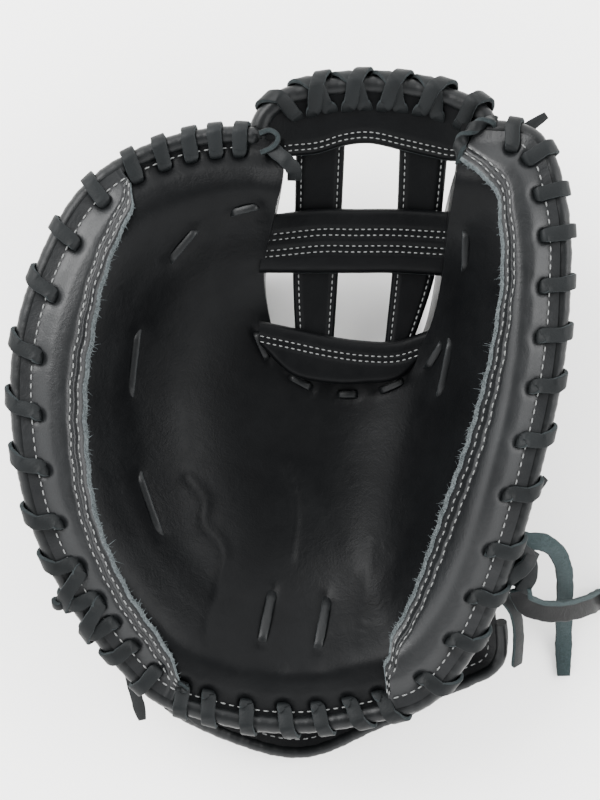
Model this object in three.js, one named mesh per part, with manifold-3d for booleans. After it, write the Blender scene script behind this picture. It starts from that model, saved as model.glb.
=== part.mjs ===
// A softball catcher mitt, worn on the right hand, lying on its back with the palm up.
// Millimetres. X runs towards the thumb, Y towards the web, and the floor is z = 0.
import * as THREE from "three";
import { mergeVertices } from "three/addons/utils/BufferGeometryUtils.js";
import Module from "manifold-3d";

const wasm = await Module();
wasm.setup();

// Driving dimensions: overall form
const HALF_WIDTH = 122; // middle to the thumb side or the little-finger side
const HALF_LENGTH = 142; // middle to the web or to the heel
const RIM_HEIGHT = 98; // floor to the rim roll where it stands highest
const POCKET_HEIGHT = 36; // floor to the palm's surface at the bottom of the pocket
const LIP_HEIGHT = 11; // floor to the strap's edge below the wrist
const CREST = 7; // how far the padded rim bulges above its edge

// Driving dimensions: leather and padding
const SHELL_LEATHER = 3; // back and wrist strap
const PALM_LEATHER = 2.6; // palm where it is laced, outside its padding
const PANEL_LEATHER = 2; // the two crescents sewn on the rim
const PAD_OVER_HAND = 10; // palm and padding above the hand
const HAND_DEPTH = 32; // deepest stall for the fingers and the thumb
const FLANGE_WIDTH = 17; // laced border between the roll and the padding
const FLANGE_DROP = 3; // fall of the back's leather across that border
const CLEARANCE = 0.35; // between pieces that touch
const NEST_CLEARANCE = 0.9; // between the padding and the back's leather
const MOUTH_CLEARANCE = 5; // added to that where the back's leather has sunk away
const ROLL_CLEARANCE = 0.9; // between a roll and the edges that it covers

// Driving dimensions: rolls and laces
const ROLL_DIAMETER = 8.5; // welting round the rim
const WEB_ROLL_DIAMETER = 9; // welting along the top of the web
const BINDING_DIAMETER = 6; // rolled edge of the wrist strap
const LACE_WIDTH = 6.5;
const LACE_THICKNESS = 2.4;
const WRAP_HOLE_INSET = 14; // rim roll's middle to the lace holes
const WEB_HOLE_INSET = 13; // web roll's middle to its lace holes
const SLIT_DEPTH = 3; // how far a lace's end dips into the palm
const BOW_RISE = 0.8; // how far a lace bows up between its slits

// Driving dimensions: web
const POST_THICKNESS = 4.4;
const WEB_FRONT_THICKNESS = 4.8; // crossbar, top piece and base piece
const WEB_LOW = 40; // floor to the web's back layer at its base
const WEB_RISE = 24; // from the base of the web to its top

// Driving dimensions: wrist
const WRIST_KNOT_RADIUS = 6;
const RIM_KNOT_RADIUS = 5;
const WRIST_LACE_WIDTH = 9;
const WRIST_LACE_THICKNESS = 2.6;

// Fineness of the faceted surfaces
const BEARINGS = 36;
const PALM_RINGS = [0.25, 0.5, 0.7, 0.84, 0.92, 1];
const BACK_RINGS = [0.5, 0.7, 0.84, 0.92, 1];
const ROUND_SIDES = 7;
const FULL_TURN = 360;
const ROLL_STEPS = 56;
const WEB_ROLL_STEPS = 12;
const NOTCH_STEPS = 20;

// Where the rim roll and the strap's rolled edge begin and end, in degrees of bearing
const ROLL_START = 101;
const ROLL_END = 413;
const BINDING_START = 240;
const BINDING_END = 320;
const RIM_KNOT_BEARING = 210.5;

// The bottom of the pocket, from which every bearing and reach of the bowl is measured
const POCKET_X = 0.05 * HALF_WIDTH;
const POCKET_Y = -0.1 * HALF_LENGTH;

// The rim roll's middle. Bearings are degrees anticlockwise from the thumb side,
// reach is a share of the half sizes, and rise is a share of the rim's height.
const RIM = [
  { bearing: 10, reach: 0.91, rise: 0.99 },
  { bearing: 25, reach: 1.025, rise: 1.01 },
  { bearing: 38, reach: 1.17, rise: 1.0 },
  { bearing: 48, reach: 1.25, rise: 0.96 },
  { bearing: 57, reach: 1.16, rise: 0.9 },
  { bearing: 76, reach: 1.05, rise: 0.86 },
  { bearing: 95, reach: 0.95, rise: 0.84 },
  { bearing: 105, reach: 0.99, rise: 0.81 },
  { bearing: 120, reach: 1.055, rise: 0.8 },
  { bearing: 135, reach: 1.105, rise: 0.84 },
  { bearing: 150, reach: 1.09, rise: 0.88 },
  { bearing: 165, reach: 1.07, rise: 0.89 },
  { bearing: 180, reach: 1.035, rise: 0.88 },
  { bearing: 195, reach: 1.01, rise: 0.85 },
  { bearing: 210, reach: 0.99, rise: 0.78 },
  { bearing: 225, reach: 0.985, rise: 0.71 },
  { bearing: 237, reach: 0.99, rise: 0.67 },
  { bearing: 250, reach: 0.955, rise: 0.64 },
  { bearing: 270, reach: 0.93, rise: 0.63 },
  { bearing: 285, reach: 0.93, rise: 0.64 },
  { bearing: 298, reach: 0.955, rise: 0.67 },
  { bearing: 310, reach: 0.915, rise: 0.73 },
  { bearing: 325, reach: 0.855, rise: 0.82 },
  { bearing: 340, reach: 0.825, rise: 0.91 },
  { bearing: 355, reach: 0.84, rise: 0.96 },
];

// The palm from the bottom of the pocket to its laced edge: how much of the climb to the
// rim is done, and how much of the crest stands there.
const BOWL = [
  { share: 0, lift: 0, crest: 0 },
  { share: 0.25, lift: 0.03, crest: 0 },
  { share: 0.45, lift: 0.17, crest: 0 },
  { share: 0.6, lift: 0.42, crest: 0.1 },
  { share: 0.72, lift: 0.7, crest: 0.5 },
  { share: 0.84, lift: 0.92, crest: 1 },
  { share: 0.92, lift: 0.985, crest: 0.65 },
  { share: 1, lift: 1, crest: 0 },
];

// The wrist opening: how far the strap's edge reaches past the rim, how much of the way it
// sinks to the lip's height, and where the palm's heel stands free above the hand.
const MOUTH = [
  { bearing: 222, out: 0, sink: 0, open: 0 },
  { bearing: 235, out: 0.04, sink: 0.3, open: 1 },
  { bearing: 245, out: 0.095, sink: 0.68, open: 1 },
  { bearing: 255, out: 0.13, sink: 0.9, open: 1 },
  { bearing: 270, out: 0.165, sink: 1, open: 1 },
  { bearing: 285, out: 0.11, sink: 0.95, open: 1 },
  { bearing: 300, out: 0.085, sink: 0.9, open: 1 },
  { bearing: 308, out: 0.15, sink: 0.86, open: 1 },
  { bearing: 315, out: 0.2, sink: 0.8, open: 1 },
  { bearing: 322, out: 0.11, sink: 0.6, open: 1 },
  { bearing: 328, out: 0.035, sink: 0.3, open: 1 },
  { bearing: 335, out: 0, sink: 0, open: 0 },
];

// Raw edges of the two crescents, as shares of the way from the pocket to the laced edge
const FINGER_CRESCENT = [
  { bearing: 128.5, inner: 0.97 },
  { bearing: 131, inner: 0.9 },
  { bearing: 137, inner: 0.86 },
  { bearing: 148, inner: 0.825 },
  { bearing: 160, inner: 0.795 },
  { bearing: 183, inner: 0.8 },
  { bearing: 200, inner: 0.828 },
  { bearing: 215, inner: 0.852 },
  { bearing: 234, inner: 0.89 },
  { bearing: 240.5, inner: 0.97 },
];
const THUMB_CRESCENT = [
  { bearing: 290.5, inner: 0.97 },
  { bearing: 292, inner: 0.87 },
  { bearing: 294, inner: 0.84 },
  { bearing: 297, inner: 0.78 },
  { bearing: 306, inner: 0.742 },
  { bearing: 318, inner: 0.716 },
  { bearing: 336, inner: 0.71 },
  { bearing: 355, inner: 0.73 },
  { bearing: 372, inner: 0.748 },
  { bearing: 390, inner: 0.786 },
  { bearing: 403, inner: 0.82 },
  { bearing: 406.5, inner: 0.84 },
  { bearing: 410, inner: 0.86 },
  { bearing: 417, inner: 0.925 },
];

// The opening between thumb and finger that the web fills, in shares of the half sizes
const NOTCH = [
  { x: -0.02, y: 0.98 },
  { x: -0.025, y: 0.74 },
  { x: -0.055, y: 0.62 },
  { x: -0.1, y: 0.45 },
  { x: -0.09, y: 0.32 },
  { x: -0.05, y: 0.21 },
  { x: 0.04, y: 0.13 },
  { x: 0.18, y: 0.09 },
  { x: 0.32, y: 0.095 },
  { x: 0.44, y: 0.14 },
  { x: 0.52, y: 0.24 },
  { x: 0.565, y: 0.4 },
  { x: 0.585, y: 0.6 },
  { x: 0.61, y: 0.77 },
  { x: 0.64, y: 0.98 },
];
const NOTCH_MOUTH_Y = 1.4;

// Lace wraps round the rim, in order: the bearing where each crosses the roll and the
// bearing of the hole that it goes into.
const FINGER_WRAPS = [
  { over: 105, hole: 104.5 },
  { over: 110.5, hole: 110 },
  { over: 116.5, hole: 115.5 },
  { over: 123.5, hole: 122 },
  { over: 130.5, hole: 129 },
  { over: 138, hole: 136.5 },
  { over: 146, hole: 145 },
  { over: 156, hole: 153.5 },
  { over: 166.5, hole: 164 },
  { over: 177, hole: 174 },
  { over: 187, hole: 184.5 },
  { over: 197.5, hole: 195 },
  { over: 206, hole: 205 },
  { over: 215, hole: 215.5 },
  { over: 223, hole: 224.5 },
];
const HEEL_WRAPS = [
  { over: 232, hole: 234 },
  { over: 244, hole: 244.5 },
  { over: 252, hole: 252.5 },
  { over: 262, hole: 262 },
  { over: 272, hole: 270 },
  { over: 280.5, hole: 278 },
  { over: 288, hole: 285.5 },
  { over: 295, hole: 293 },
];
const THUMB_WRAPS = [
  { over: 308, hole: 305 },
  { over: 318, hole: 315.5 },
  { over: 327, hole: 325 },
  { over: 335, hole: 335 },
  { over: 345.5, hole: 344 },
  { over: 354, hole: 352.5 },
  { over: 363, hole: 361 },
  { over: 372, hole: 369.5 },
  { over: 380, hole: 378 },
  { over: 388.5, hole: 386.5 },
  { over: 396, hole: 394.5 },
  { over: 403, hole: 402.5 },
  { over: 410, hole: 411 },
];

// Laces that show on the palm between two slits, in shares of the half sizes
const PALM_LACES = [
  { name: "palm_lace_finger_1", from: [-0.22, 0.61], to: [-0.12, 0.63] },
  { name: "palm_lace_finger_2", from: [-0.45, 0.46], to: [-0.35, 0.56] },
  { name: "palm_lace_finger_3", from: [-0.6, 0.03], to: [-0.57, 0.24] },
  { name: "palm_lace_finger_4", from: [-0.49, -0.42], to: [-0.57, -0.22] },
  { name: "palm_lace_heel_1", from: [-0.11, -0.77], to: [-0.07, -0.61] },
  { name: "palm_lace_heel_2", from: [0.1, -0.79], to: [0.14, -0.63] },
  { name: "palm_lace_thumb_1", from: [0.645, 0.55], to: [0.645, 0.43] },
  { name: "palm_lace_thumb_2", from: [0.6, 0.21], to: [0.56, 0.03] },
  { name: "base_lace_1", from: [-0.135, 0.24], to: [-0.09, 0.15] },
  { name: "base_lace_2", from: [-0.005, 0.095], to: [0.08, 0.055] },
  { name: "base_lace_3", from: [0.18, 0.035], to: [0.255, 0.035] },
  { name: "base_lace_4", from: [0.34, 0.045], to: [0.43, 0.08] },
  { name: "base_lace_5", from: [0.515, 0.12], to: [0.57, 0.2] },
];

// Loose ends of the laces: where each comes out from under the roll's middle, how it turns
// from the straight way out, its length, its drop, and its width as a share of a lace's
const LACE_TAILS = [
  { name: "lace_tail_finger", bearing: 228, turn: 28, length: 27, drop: 16, width: 0.85 },
  { name: "lace_tail_heel", bearing: 238, turn: 40, length: 17, drop: 12, width: 0.85 },
  { name: "lace_tail_thumb", bearing: 341, turn: 60, length: 16, drop: 5, width: 0.7 },
  { name: "lace_tail_tip", bearing: 406.5, turn: 10, length: 16, drop: 2, width: 0.7 },
];
const TAIL = [
  { share: 0, fall: 0 },
  { share: 0.4, fall: 0.3 },
  { share: 0.8, fall: 0.75 },
  { share: 1, fall: 1 },
];

// Ties from the tips of the rim to the web: places in shares of the half sizes, what lies
// under the lace there, and how far it stands over that in millimetres
const FINGER_TIE = [
  { x: -0.11, y: 0.775, on: "palm", raise: 0.5 },
  { x: -0.09, y: 0.825, on: "palm", raise: 2 },
  { x: -0.055, y: 0.845, on: "palm", raise: 2.6 },
  { x: -0.02, y: 0.81, on: "palm", raise: 2 },
  { x: 0.018, y: 0.765, on: "palm", raise: -3 },
  { x: 0.014, y: 0.72, on: "palm", raise: -8 },
];
const THUMB_TIE = [
  { x: 0.745, y: 0.875, on: "palm", raise: 0 },
  { x: 0.705, y: 0.872, on: "palm", raise: 0.8 },
  { x: 0.665, y: 0.85, on: "palm", raise: 6 },
  { x: 0.632, y: 0.82, on: "palm", raise: 6.3 },
  { x: 0.59, y: 0.8, on: "palm", raise: 1 },
  { x: 0.565, y: 0.79, on: "web", raise: 9 },
  { x: 0.557, y: 0.76, on: "web", raise: 2 },
];

// The wrist's laces, in millimetres from the middle of the mitt: a short end that hangs over
// the strap, and the two free ends that run from the knot down to the floor.
const WRIST_KNOT = { x: 105.1, y: -76.7, z: 78.6, heading: 60 };
const SHORT_END = [
  { x: 91, y: -80, z: 63 },
  { x: 98, y: -88, z: 59.5 },
  { x: 104, y: -97, z: 52 },
  { x: 106.5, y: -109, z: 40 },
  { x: 107, y: -123, z: 26 },
];
const UNDER_END = [
  { x: 103, y: -60.5, z: 76.5 },
  { x: 108, y: -61.5, z: 74.5 },
  { x: 115, y: -62.5, z: 70.5 },
  { x: 121.5, y: -67, z: 63.5 },
  { x: 126, y: -75, z: 53 },
  { x: 128.5, y: -85.5, z: 38 },
  { x: 130, y: -97.5, z: 22 },
  { x: 131.5, y: -110, z: 8 },
  { x: 132, y: -121, z: 2.5 },
  { x: 132.2, y: -131.5, z: 1.4 },
];
const OVER_END = [
  { x: 103.7, y: -82.9, z: 76.4 },
  { x: 106.5, y: -90, z: 70 },
  { x: 116.4, y: -94.6, z: 58.5 },
  { x: 129.5, y: -96, z: 42 },
  { x: 141.5, y: -95, z: 23 },
  { x: 148.5, y: -94, z: 6.5 },
  { x: 154, y: -92.8, z: 1.6 },
  { x: 158, y: -92, z: 1.4 },
];

// The hand's hollow: its two sides at each section, from the wrist inwards
const FINGER_STALLS = [
  { left: [-0.5, -0.62], right: [0.5, -0.58] },
  { left: [-0.66, -0.42], right: [0.58, -0.42] },
  { left: [-0.72, -0.15], right: [0.52, -0.12] },
  { left: [-0.76, 0.14], right: [-0.18, 0.06] },
  { left: [-0.74, 0.38], right: [-0.24, 0.36] },
  { left: [-0.6, 0.56], right: [-0.32, 0.56] },
];
const THUMB_STALL = [
  { left: [0.34, -0.56], right: [0.6, -0.52] },
  { left: [0.44, -0.26], right: [0.72, -0.26] },
  { left: [0.62, 0.02], right: [0.8, 0.0] },
  { left: [0.67, 0.24], right: [0.87, 0.22] },
  { left: [0.7, 0.48], right: [0.86, 0.46] },
];
const STALL_ACROSS = [-1, -0.7, 0, 0.7, 1];
const STALL_ROUNDING = 0.35;
const STALL_CURVE = 4;

// The back: where the wrist strap begins, and the opening between it and the finger back
const STRAP_EDGE = [
  { x: -1.2, y: -0.66 },
  { x: -0.45, y: -0.66 },
  { x: 0.05, y: -0.62 },
  { x: 0.5, y: -0.66 },
  { x: 1.2, y: -0.66 },
];
const STRAP_FAR_Y = -1.5;
const BACK_OPENING = { x: 0.03, y: -0.52, halfWidth: 0.4, halfLength: 0.11, points: 12 };

// The back's panels of leather, and the seams between them as shares of the half width
const BACK_PANELS = [
  { name: "back_finger_outer", from: -1.5, to: -0.42 },
  { name: "back_finger_inner", from: -0.42, to: 0.03 },
  { name: "back_thumb", from: 0.03, to: 1.5 },
];
const BACK_FAR_Y = 1.5;

// The web's pieces: the two ends of each section, in shares of the half sizes
const POST_FINGER = [
  { left: [0.02, 0.86], right: [0.205, 0.86] },
  { left: [0.015, 0.62], right: [0.193, 0.62] },
  { left: [0.008, 0.42], right: [0.18, 0.42] },
  { left: [0.02, 0.18], right: [0.16, 0.16] },
];
const POST_THUMB = [
  { left: [0.41, 0.86], right: [0.595, 0.86] },
  { left: [0.403, 0.62], right: [0.572, 0.62] },
  { left: [0.385, 0.42], right: [0.548, 0.42] },
  { left: [0.355, 0.16], right: [0.46, 0.19] },
];
const CROSSBAR = [
  { left: [-0.08, 0.615], right: [-0.12, 0.43] },
  { left: [0.1, 0.635], right: [0.1, 0.43] },
  { left: [0.25, 0.635], right: [0.25, 0.43] },
  { left: [0.4, 0.635], right: [0.4, 0.43] },
  { left: [0.61, 0.625], right: [0.59, 0.42] },
];
const BASE = [
  { left: [-0.12, 0.275], right: [-0.12, 0.2] },
  { left: [0.02, 0.25], right: [0.0, 0.1] },
  { left: [0.15, 0.225], right: [0.15, 0.07] },
  { left: [0.28, 0.21], right: [0.28, 0.07] },
  { left: [0.4, 0.21], right: [0.42, 0.09] },
  { left: [0.54, 0.25], right: [0.54, 0.2] },
];
const TOP_PIECE = [
  { x: -0.06, low: 0.9 },
  { x: -0.005, low: 0.8 },
  { x: 0.1, low: 0.81 },
  { x: 0.2, low: 0.835 },
  { x: 0.3, low: 0.842 },
  { x: 0.42, low: 0.82 },
  { x: 0.52, low: 0.8 },
  { x: 0.61, low: 0.785 },
  { x: 0.67, low: 0.86 },
];
const WEB_ACROSS = [0, 0.5, 1];

// Crossed laces over the web roll: where each crosses the roll and where its hole is.
// The second lace lies on the first.
const WEB_WRAPS = [
  { over: -0.05, hole: -0.03 },
  { over: 0.035, hole: 0.144 },
  { over: 0.185, hole: 0.285 },
  { over: 0.33, hole: 0.427 },
  { over: 0.475, hole: 0.582 },
];
const WEB_WRAPS_OVER = [
  { over: 0.12, hole: 0.067 },
  { over: 0.265, hole: 0.21 },
  { over: 0.41, hole: 0.352 },
  { over: 0.56, hole: 0.497 },
  { over: 0.66, hole: 0.655 },
];

// The web roll's middle
const WEB_ROLL = [
  { x: -0.095, y: 0.925 },
  { x: -0.03, y: 0.975 },
  { x: 0.05, y: 1.0 },
  { x: 0.2, y: 1.02 },
  { x: 0.36, y: 1.02 },
  { x: 0.52, y: 1.0 },
  { x: 0.65, y: 0.96 },
  { x: 0.71, y: 0.925 },
];

const radians = (degrees) => (degrees * Math.PI) / 180;
const mix = (a, b, share) => a + (b - a) * share;
const clamp = (value, low, high) => Math.min(high, Math.max(low, value));
const vector = (x, y, z) => new THREE.Vector3(x, y, z);
const UP = vector(0, 0, 1);

// A column of a table read smoothly between its rows. A table that closes on itself names
// its turn, and beyond an open table's ends the end rows hold.
function smooth(rows, key, column, at, turn = 0) {
  const count = rows.length;
  const keyAt = (i) => {
    if (turn) return rows[(i + count) % count][key] + turn * Math.floor(i / count);
    return rows[clamp(i, 0, count - 1)][key] + Math.min(i, 0) + Math.max(i - count + 1, 0);
  };
  const valueAt = (i) => rows[turn ? (i + count) % count : clamp(i, 0, count - 1)][column];
  let place = clamp(at, keyAt(0), keyAt(count - 1));
  if (turn) place = keyAt(0) + ((((at - keyAt(0)) % turn) + turn) % turn);
  let i = 0;
  while (i < (turn ? count - 1 : count - 2) && keyAt(i + 1) <= place) i += 1;
  const span = keyAt(i + 1) - keyAt(i);
  const t = (place - keyAt(i)) / span;
  const slope = (j) => (valueAt(j + 1) - valueAt(j - 1)) / (keyAt(j + 1) - keyAt(j - 1));
  const rise = valueAt(i + 1) - valueAt(i);
  const from = slope(i) * span - rise;
  const to = rise - slope(i + 1) * span;
  return mix(valueAt(i), valueAt(i + 1), t) + t * (1 - t) * (from * (1 - t) + to * t);
}

// The bowl's plan: rays from the bottom of the pocket, and distances along them
const ray = (bearing) =>
  vector(HALF_WIDTH * Math.cos(radians(bearing)), HALF_LENGTH * Math.sin(radians(bearing)), 0);
const outward = (bearing) => ray(bearing).normalize();
const spot = (bearing, distance, z) =>
  outward(bearing)
    .multiplyScalar(distance)
    .add(vector(POCKET_X, POCKET_Y, z));
const LEAST_SQUARE = 0.7;
const RIM_STEP = 1;
const inTurn = (bearing) => ((bearing % FULL_TURN) + FULL_TURN) % FULL_TURN;
const rimDistance = (bearing) =>
  smooth(RIM, "bearing", "reach", bearing, FULL_TURN) * ray(bearing).length();
const rimHeight = (bearing) => RIM_HEIGHT * smooth(RIM, "bearing", "rise", bearing, FULL_TURN);
const mouth = (bearing, column) => smooth(MOUTH, "bearing", column, inTurn(bearing));
const rimPoint = (bearing) => spot(bearing, rimDistance(bearing), rimHeight(bearing));
function palmEdge(bearing) {
  const along = rimPoint(bearing + RIM_STEP).sub(rimPoint(bearing - RIM_STEP)).setZ(0).normalize();
  const square = outward(bearing).cross(along).length();
  return rimDistance(bearing) - (ROLL_DIAMETER / 2 + ROLL_CLEARANCE) / Math.max(square, LEAST_SQUARE);
}
const backEdge = (bearing) => palmEdge(bearing) + mouth(bearing, "out") * ray(bearing).length();

// Heights of the laced leathers around the middle of the roll
const PALM_TOP = 1.6;
const PALM_UNDER = PALM_TOP - PALM_LEATHER;
const BACK_UNDER = PALM_UNDER - CLEARANCE - SHELL_LEATHER;

// The palm's surface at a distance from the bottom of the pocket
function palmHeight(bearing, distance) {
  const share = clamp(distance / palmEdge(bearing), 0, 1);
  const lift = smooth(BOWL, "share", "lift", share);
  const crest = smooth(BOWL, "share", "crest", share);
  return mix(POCKET_HEIGHT, rimHeight(bearing) + PALM_TOP, lift) + CREST * crest;
}

// The outer face of the back's leather, flat on the floor and then curving up to the rim
const FLOOR_SHARE = 0.5;
const BACK_FULLNESS = 0.75;
const edgeHeight = (bearing) =>
  mix(rimHeight(bearing) + BACK_UNDER, LIP_HEIGHT, mouth(bearing, "sink"));
function backHeight(bearing, distance) {
  const height = edgeHeight(bearing);
  const border = backEdge(bearing) - FLANGE_WIDTH;
  const borderHeight = Math.max(0, height - FLANGE_DROP);
  if (distance > border) return mix(borderHeight, height, (distance - border) / FLANGE_WIDTH);
  const floor = FLOOR_SHARE * backEdge(bearing);
  const climbed = clamp((distance - floor) / (border - floor), 0, 1);
  return borderHeight * (1 - (1 - climbed * climbed) ** BACK_FULLNESS);
}

// The same face raised by a wall measured square to it
const MOST_SLOPE = 3;
const SLOPE_STEP = 1;
function backInside(bearing, distance, wall) {
  const above = backHeight(bearing, distance + SLOPE_STEP);
  const below = backHeight(bearing, distance - SLOPE_STEP);
  const slope = clamp((above - below) / (2 * SLOPE_STEP), 0, MOST_SLOPE);
  const border = backEdge(bearing) - FLANGE_WIDTH;
  const stretch = distance > border ? 1 : Math.hypot(1, slope);
  return backHeight(bearing, distance) + wall * stretch;
}

// The palm's underside: on the back's leather, or free above the hand at the wrist
function palmUnder(bearing, distance) {
  const border = palmEdge(bearing) - FLANGE_WIDTH;
  const nest = distance > border ? CLEARANCE : NEST_CLEARANCE;
  const room = nest + MOUTH_CLEARANCE * mouth(bearing, "sink");
  const onBack = backInside(bearing, distance, SHELL_LEATHER + room);
  const laced = clamp((distance - border) / FLANGE_WIDTH, 0, 1);
  const free = palmHeight(bearing, distance) - mix(PAD_OVER_HAND, PALM_LEATHER, laced);
  return mix(onBack, Math.max(onBack, free), mouth(bearing, "open"));
}

// Bearing and distance of a point
function polar(point) {
  const dx = point.x - POCKET_X;
  const dy = point.y - POCKET_Y;
  return {
    bearing: (Math.atan2(dy / HALF_LENGTH, dx / HALF_WIDTH) * 180) / Math.PI,
    distance: Math.hypot(dx, dy),
  };
}
const inPlan = ([x, y]) => vector(x * HALF_WIDTH, y * HALF_LENGTH, 0);

// Height of a bowl's faceted surface over a point, from the corners of the facet there
function facetHeight(edge, rings, height, point) {
  const { bearing, distance } = polar(point);
  const step = FULL_TURN / BEARINGS;
  const first = Math.floor(bearing / step) * step;
  const last = first + step;
  const stretched = distance / ray(bearing).length() / Math.sin(radians(step));
  const part = (corner, angle) =>
    (stretched * Math.sin(radians(angle)) * ray(corner).length()) / edge(corner);
  const parts = [part(first, last - bearing), part(last, bearing - first)];
  const inside = Math.min(1, 1 / (parts[0] + parts[1]));
  const [toFirst, toLast] = parts.map((value) => value * inside);
  const share = Math.min(toFirst + toLast, 1);
  const outer = rings.findIndex((ring) => ring >= share);
  const far = rings[outer];
  const near = outer > 0 ? rings[outer - 1] : 0;
  const at = (corner, ring) => height(corner, ring * edge(corner));
  const span = (share - near) / (far - near);
  const turn = toLast / far;
  if (turn <= span) {
    return (1 - span) * at(first, near) + (span - turn) * at(first, far) + turn * at(last, far);
  }
  const back = toFirst / near;
  return back * at(first, near) + span * at(last, far) + (1 - span - back) * at(last, near);
}
function chordEdge(bearing) {
  const step = FULL_TURN / BEARINGS;
  const first = Math.floor(bearing / step) * step;
  const [a, b] = [first, first + step].map((corner) => palmEdge(corner) / ray(corner).length());
  const turn = radians(bearing - first);
  const rest = radians(first + step - bearing);
  const reach = (a * b * Math.sin(turn + rest)) / (a * Math.sin(turn) + b * Math.sin(rest));
  return reach * ray(bearing).length();
}
const palmAt = (point) => facetHeight(palmEdge, PALM_RINGS, palmHeight, point);

// The web's back layer, a sheet that climbs from its base and turns up at its corners
const WEB_BASE_Y = 0.15;
const WEB_TOP_Y = 1;
const WEB_MIDDLE_X = 0.28;
const WEB_HALF_X = 0.38;
const WEB_CORNER = 0.22;
const WEB_CURVE = 1.5;
const WEB_CORNER_CURVE = 4;
const WEB_FARTHEST = 1.2;
const FRONT_LAYER = POST_THICKNESS + 2 * CLEARANCE;
function webHeight(point) {
  const [x, y] = [point.x / HALF_WIDTH, point.y / HALF_LENGTH];
  const climb = clamp((y - WEB_BASE_Y) / (WEB_TOP_Y - WEB_BASE_Y), 0, 1);
  const aside = clamp(Math.abs(x - WEB_MIDDLE_X) / WEB_HALF_X, 0, WEB_FARTHEST);
  return WEB_LOW + WEB_RISE * (climb ** WEB_CURVE + WEB_CORNER * climb * aside ** WEB_CORNER_CURVE);
}
const webRollY = (x) => smooth(WEB_ROLL, "x", "y", x);
function webRollPoint(x) {
  const point = inPlan([x, webRollY(x)]);
  return point.setZ(webHeight(point) + FRONT_LAYER + WEB_FRONT_THICKNESS / 2);
}

// Solids
const WELD = 1e-4;
function solid(geometry) {
  const bare = geometry.clone();
  bare.deleteAttribute("normal");
  bare.deleteAttribute("uv");
  const merged = mergeVertices(bare, WELD);
  const vertProperties = new Float32Array(merged.attributes.position.array);
  const triVerts = new Uint32Array(merged.index.array);
  return new wasm.Manifold(new wasm.Mesh({ numProp: 3, vertProperties, triVerts }));
}

function geometryOf(body) {
  const mesh = body.getMesh();
  const geometry = new THREE.BufferGeometry();
  geometry.setAttribute("position", new THREE.BufferAttribute(mesh.vertProperties, 3));
  geometry.setIndex(new THREE.BufferAttribute(mesh.triVerts, 1));
  geometry.computeVertexNormals();
  return geometry;
}

// A solid from points and triangles, whichever way round the triangles run
function fromFaces(points, faces) {
  const geometry = new THREE.BufferGeometry();
  const numbers = points.flatMap((p) => [p.x, p.y, p.z]);
  geometry.setAttribute("position", new THREE.Float32BufferAttribute(numbers, 3));
  geometry.setIndex(faces);
  const body = solid(geometry);
  if (body.volume() > 0) return body;
  const turned = [];
  for (let i = 0; i < faces.length; i += 3) turned.push(faces[i], faces[i + 2], faces[i + 1]);
  geometry.setIndex(turned);
  return solid(geometry);
}

// A closed solid from a top grid and a bottom grid of the same rows and columns
function slab(top, bottom) {
  const rows = top.length;
  const columns = top[0].length;
  const points = [...top.flat(), ...bottom.flat()];
  const under = rows * columns;
  const faces = [];
  const quad = (a, b, c, d) => faces.push(a, b, c, a, c, d);
  const at = (r, c) => r * columns + c;
  for (let r = 0; r + 1 < rows; r += 1) {
    for (let c = 0; c + 1 < columns; c += 1) {
      quad(at(r, c), at(r + 1, c), at(r + 1, c + 1), at(r, c + 1));
      quad(under + at(r, c), under + at(r, c + 1), under + at(r + 1, c + 1), under + at(r + 1, c));
    }
  }
  const border = [];
  for (let c = 0; c < columns - 1; c += 1) border.push(at(0, c));
  for (let r = 0; r < rows - 1; r += 1) border.push(at(r, columns - 1));
  for (let c = columns - 1; c > 0; c -= 1) border.push(at(rows - 1, c));
  for (let r = rows - 1; r > 0; r -= 1) border.push(at(r, 0));
  border.forEach((a, i) => {
    const b = border[(i + 1) % border.length];
    quad(a, b, under + b, under + a);
  });
  return fromFaces(points, faces);
}

// A bowl-shaped solid between two height functions, in rings round the pocket
function bowl(edge, rings, topHeight, bottomHeight) {
  const points = [];
  const faces = [];
  const surface = (height) => {
    const first = points.length;
    points.push(spot(0, 0, height(0, 0)));
    for (const share of rings) {
      for (let i = 0; i < BEARINGS; i += 1) {
        const bearing = (i * FULL_TURN) / BEARINGS;
        const distance = share * edge(bearing);
        points.push(spot(bearing, distance, height(bearing, distance)));
      }
    }
    return first;
  };
  const top = surface(topHeight);
  const bottom = surface(bottomHeight);
  const at = (first, ring, i) => first + 1 + ring * BEARINGS + (i % BEARINGS);
  const quad = (a, b, c, d) => faces.push(a, b, c, a, c, d);
  const last = rings.length - 1;
  for (let i = 0; i < BEARINGS; i += 1) {
    faces.push(top, at(top, 0, i), at(top, 0, i + 1));
    faces.push(bottom, at(bottom, 0, i + 1), at(bottom, 0, i));
    for (let ring = 0; ring < last; ring += 1) {
      quad(at(top, ring, i), at(top, ring + 1, i), at(top, ring + 1, i + 1), at(top, ring, i + 1));
      const [near, far] = [at(bottom, ring, i), at(bottom, ring + 1, i)];
      quad(near, at(bottom, ring, i + 1), at(bottom, ring + 1, i + 1), far);
    }
    quad(at(top, last, i), at(bottom, last, i), at(bottom, last, i + 1), at(top, last, i + 1));
  }
  return fromFaces(points, faces);
}

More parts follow.
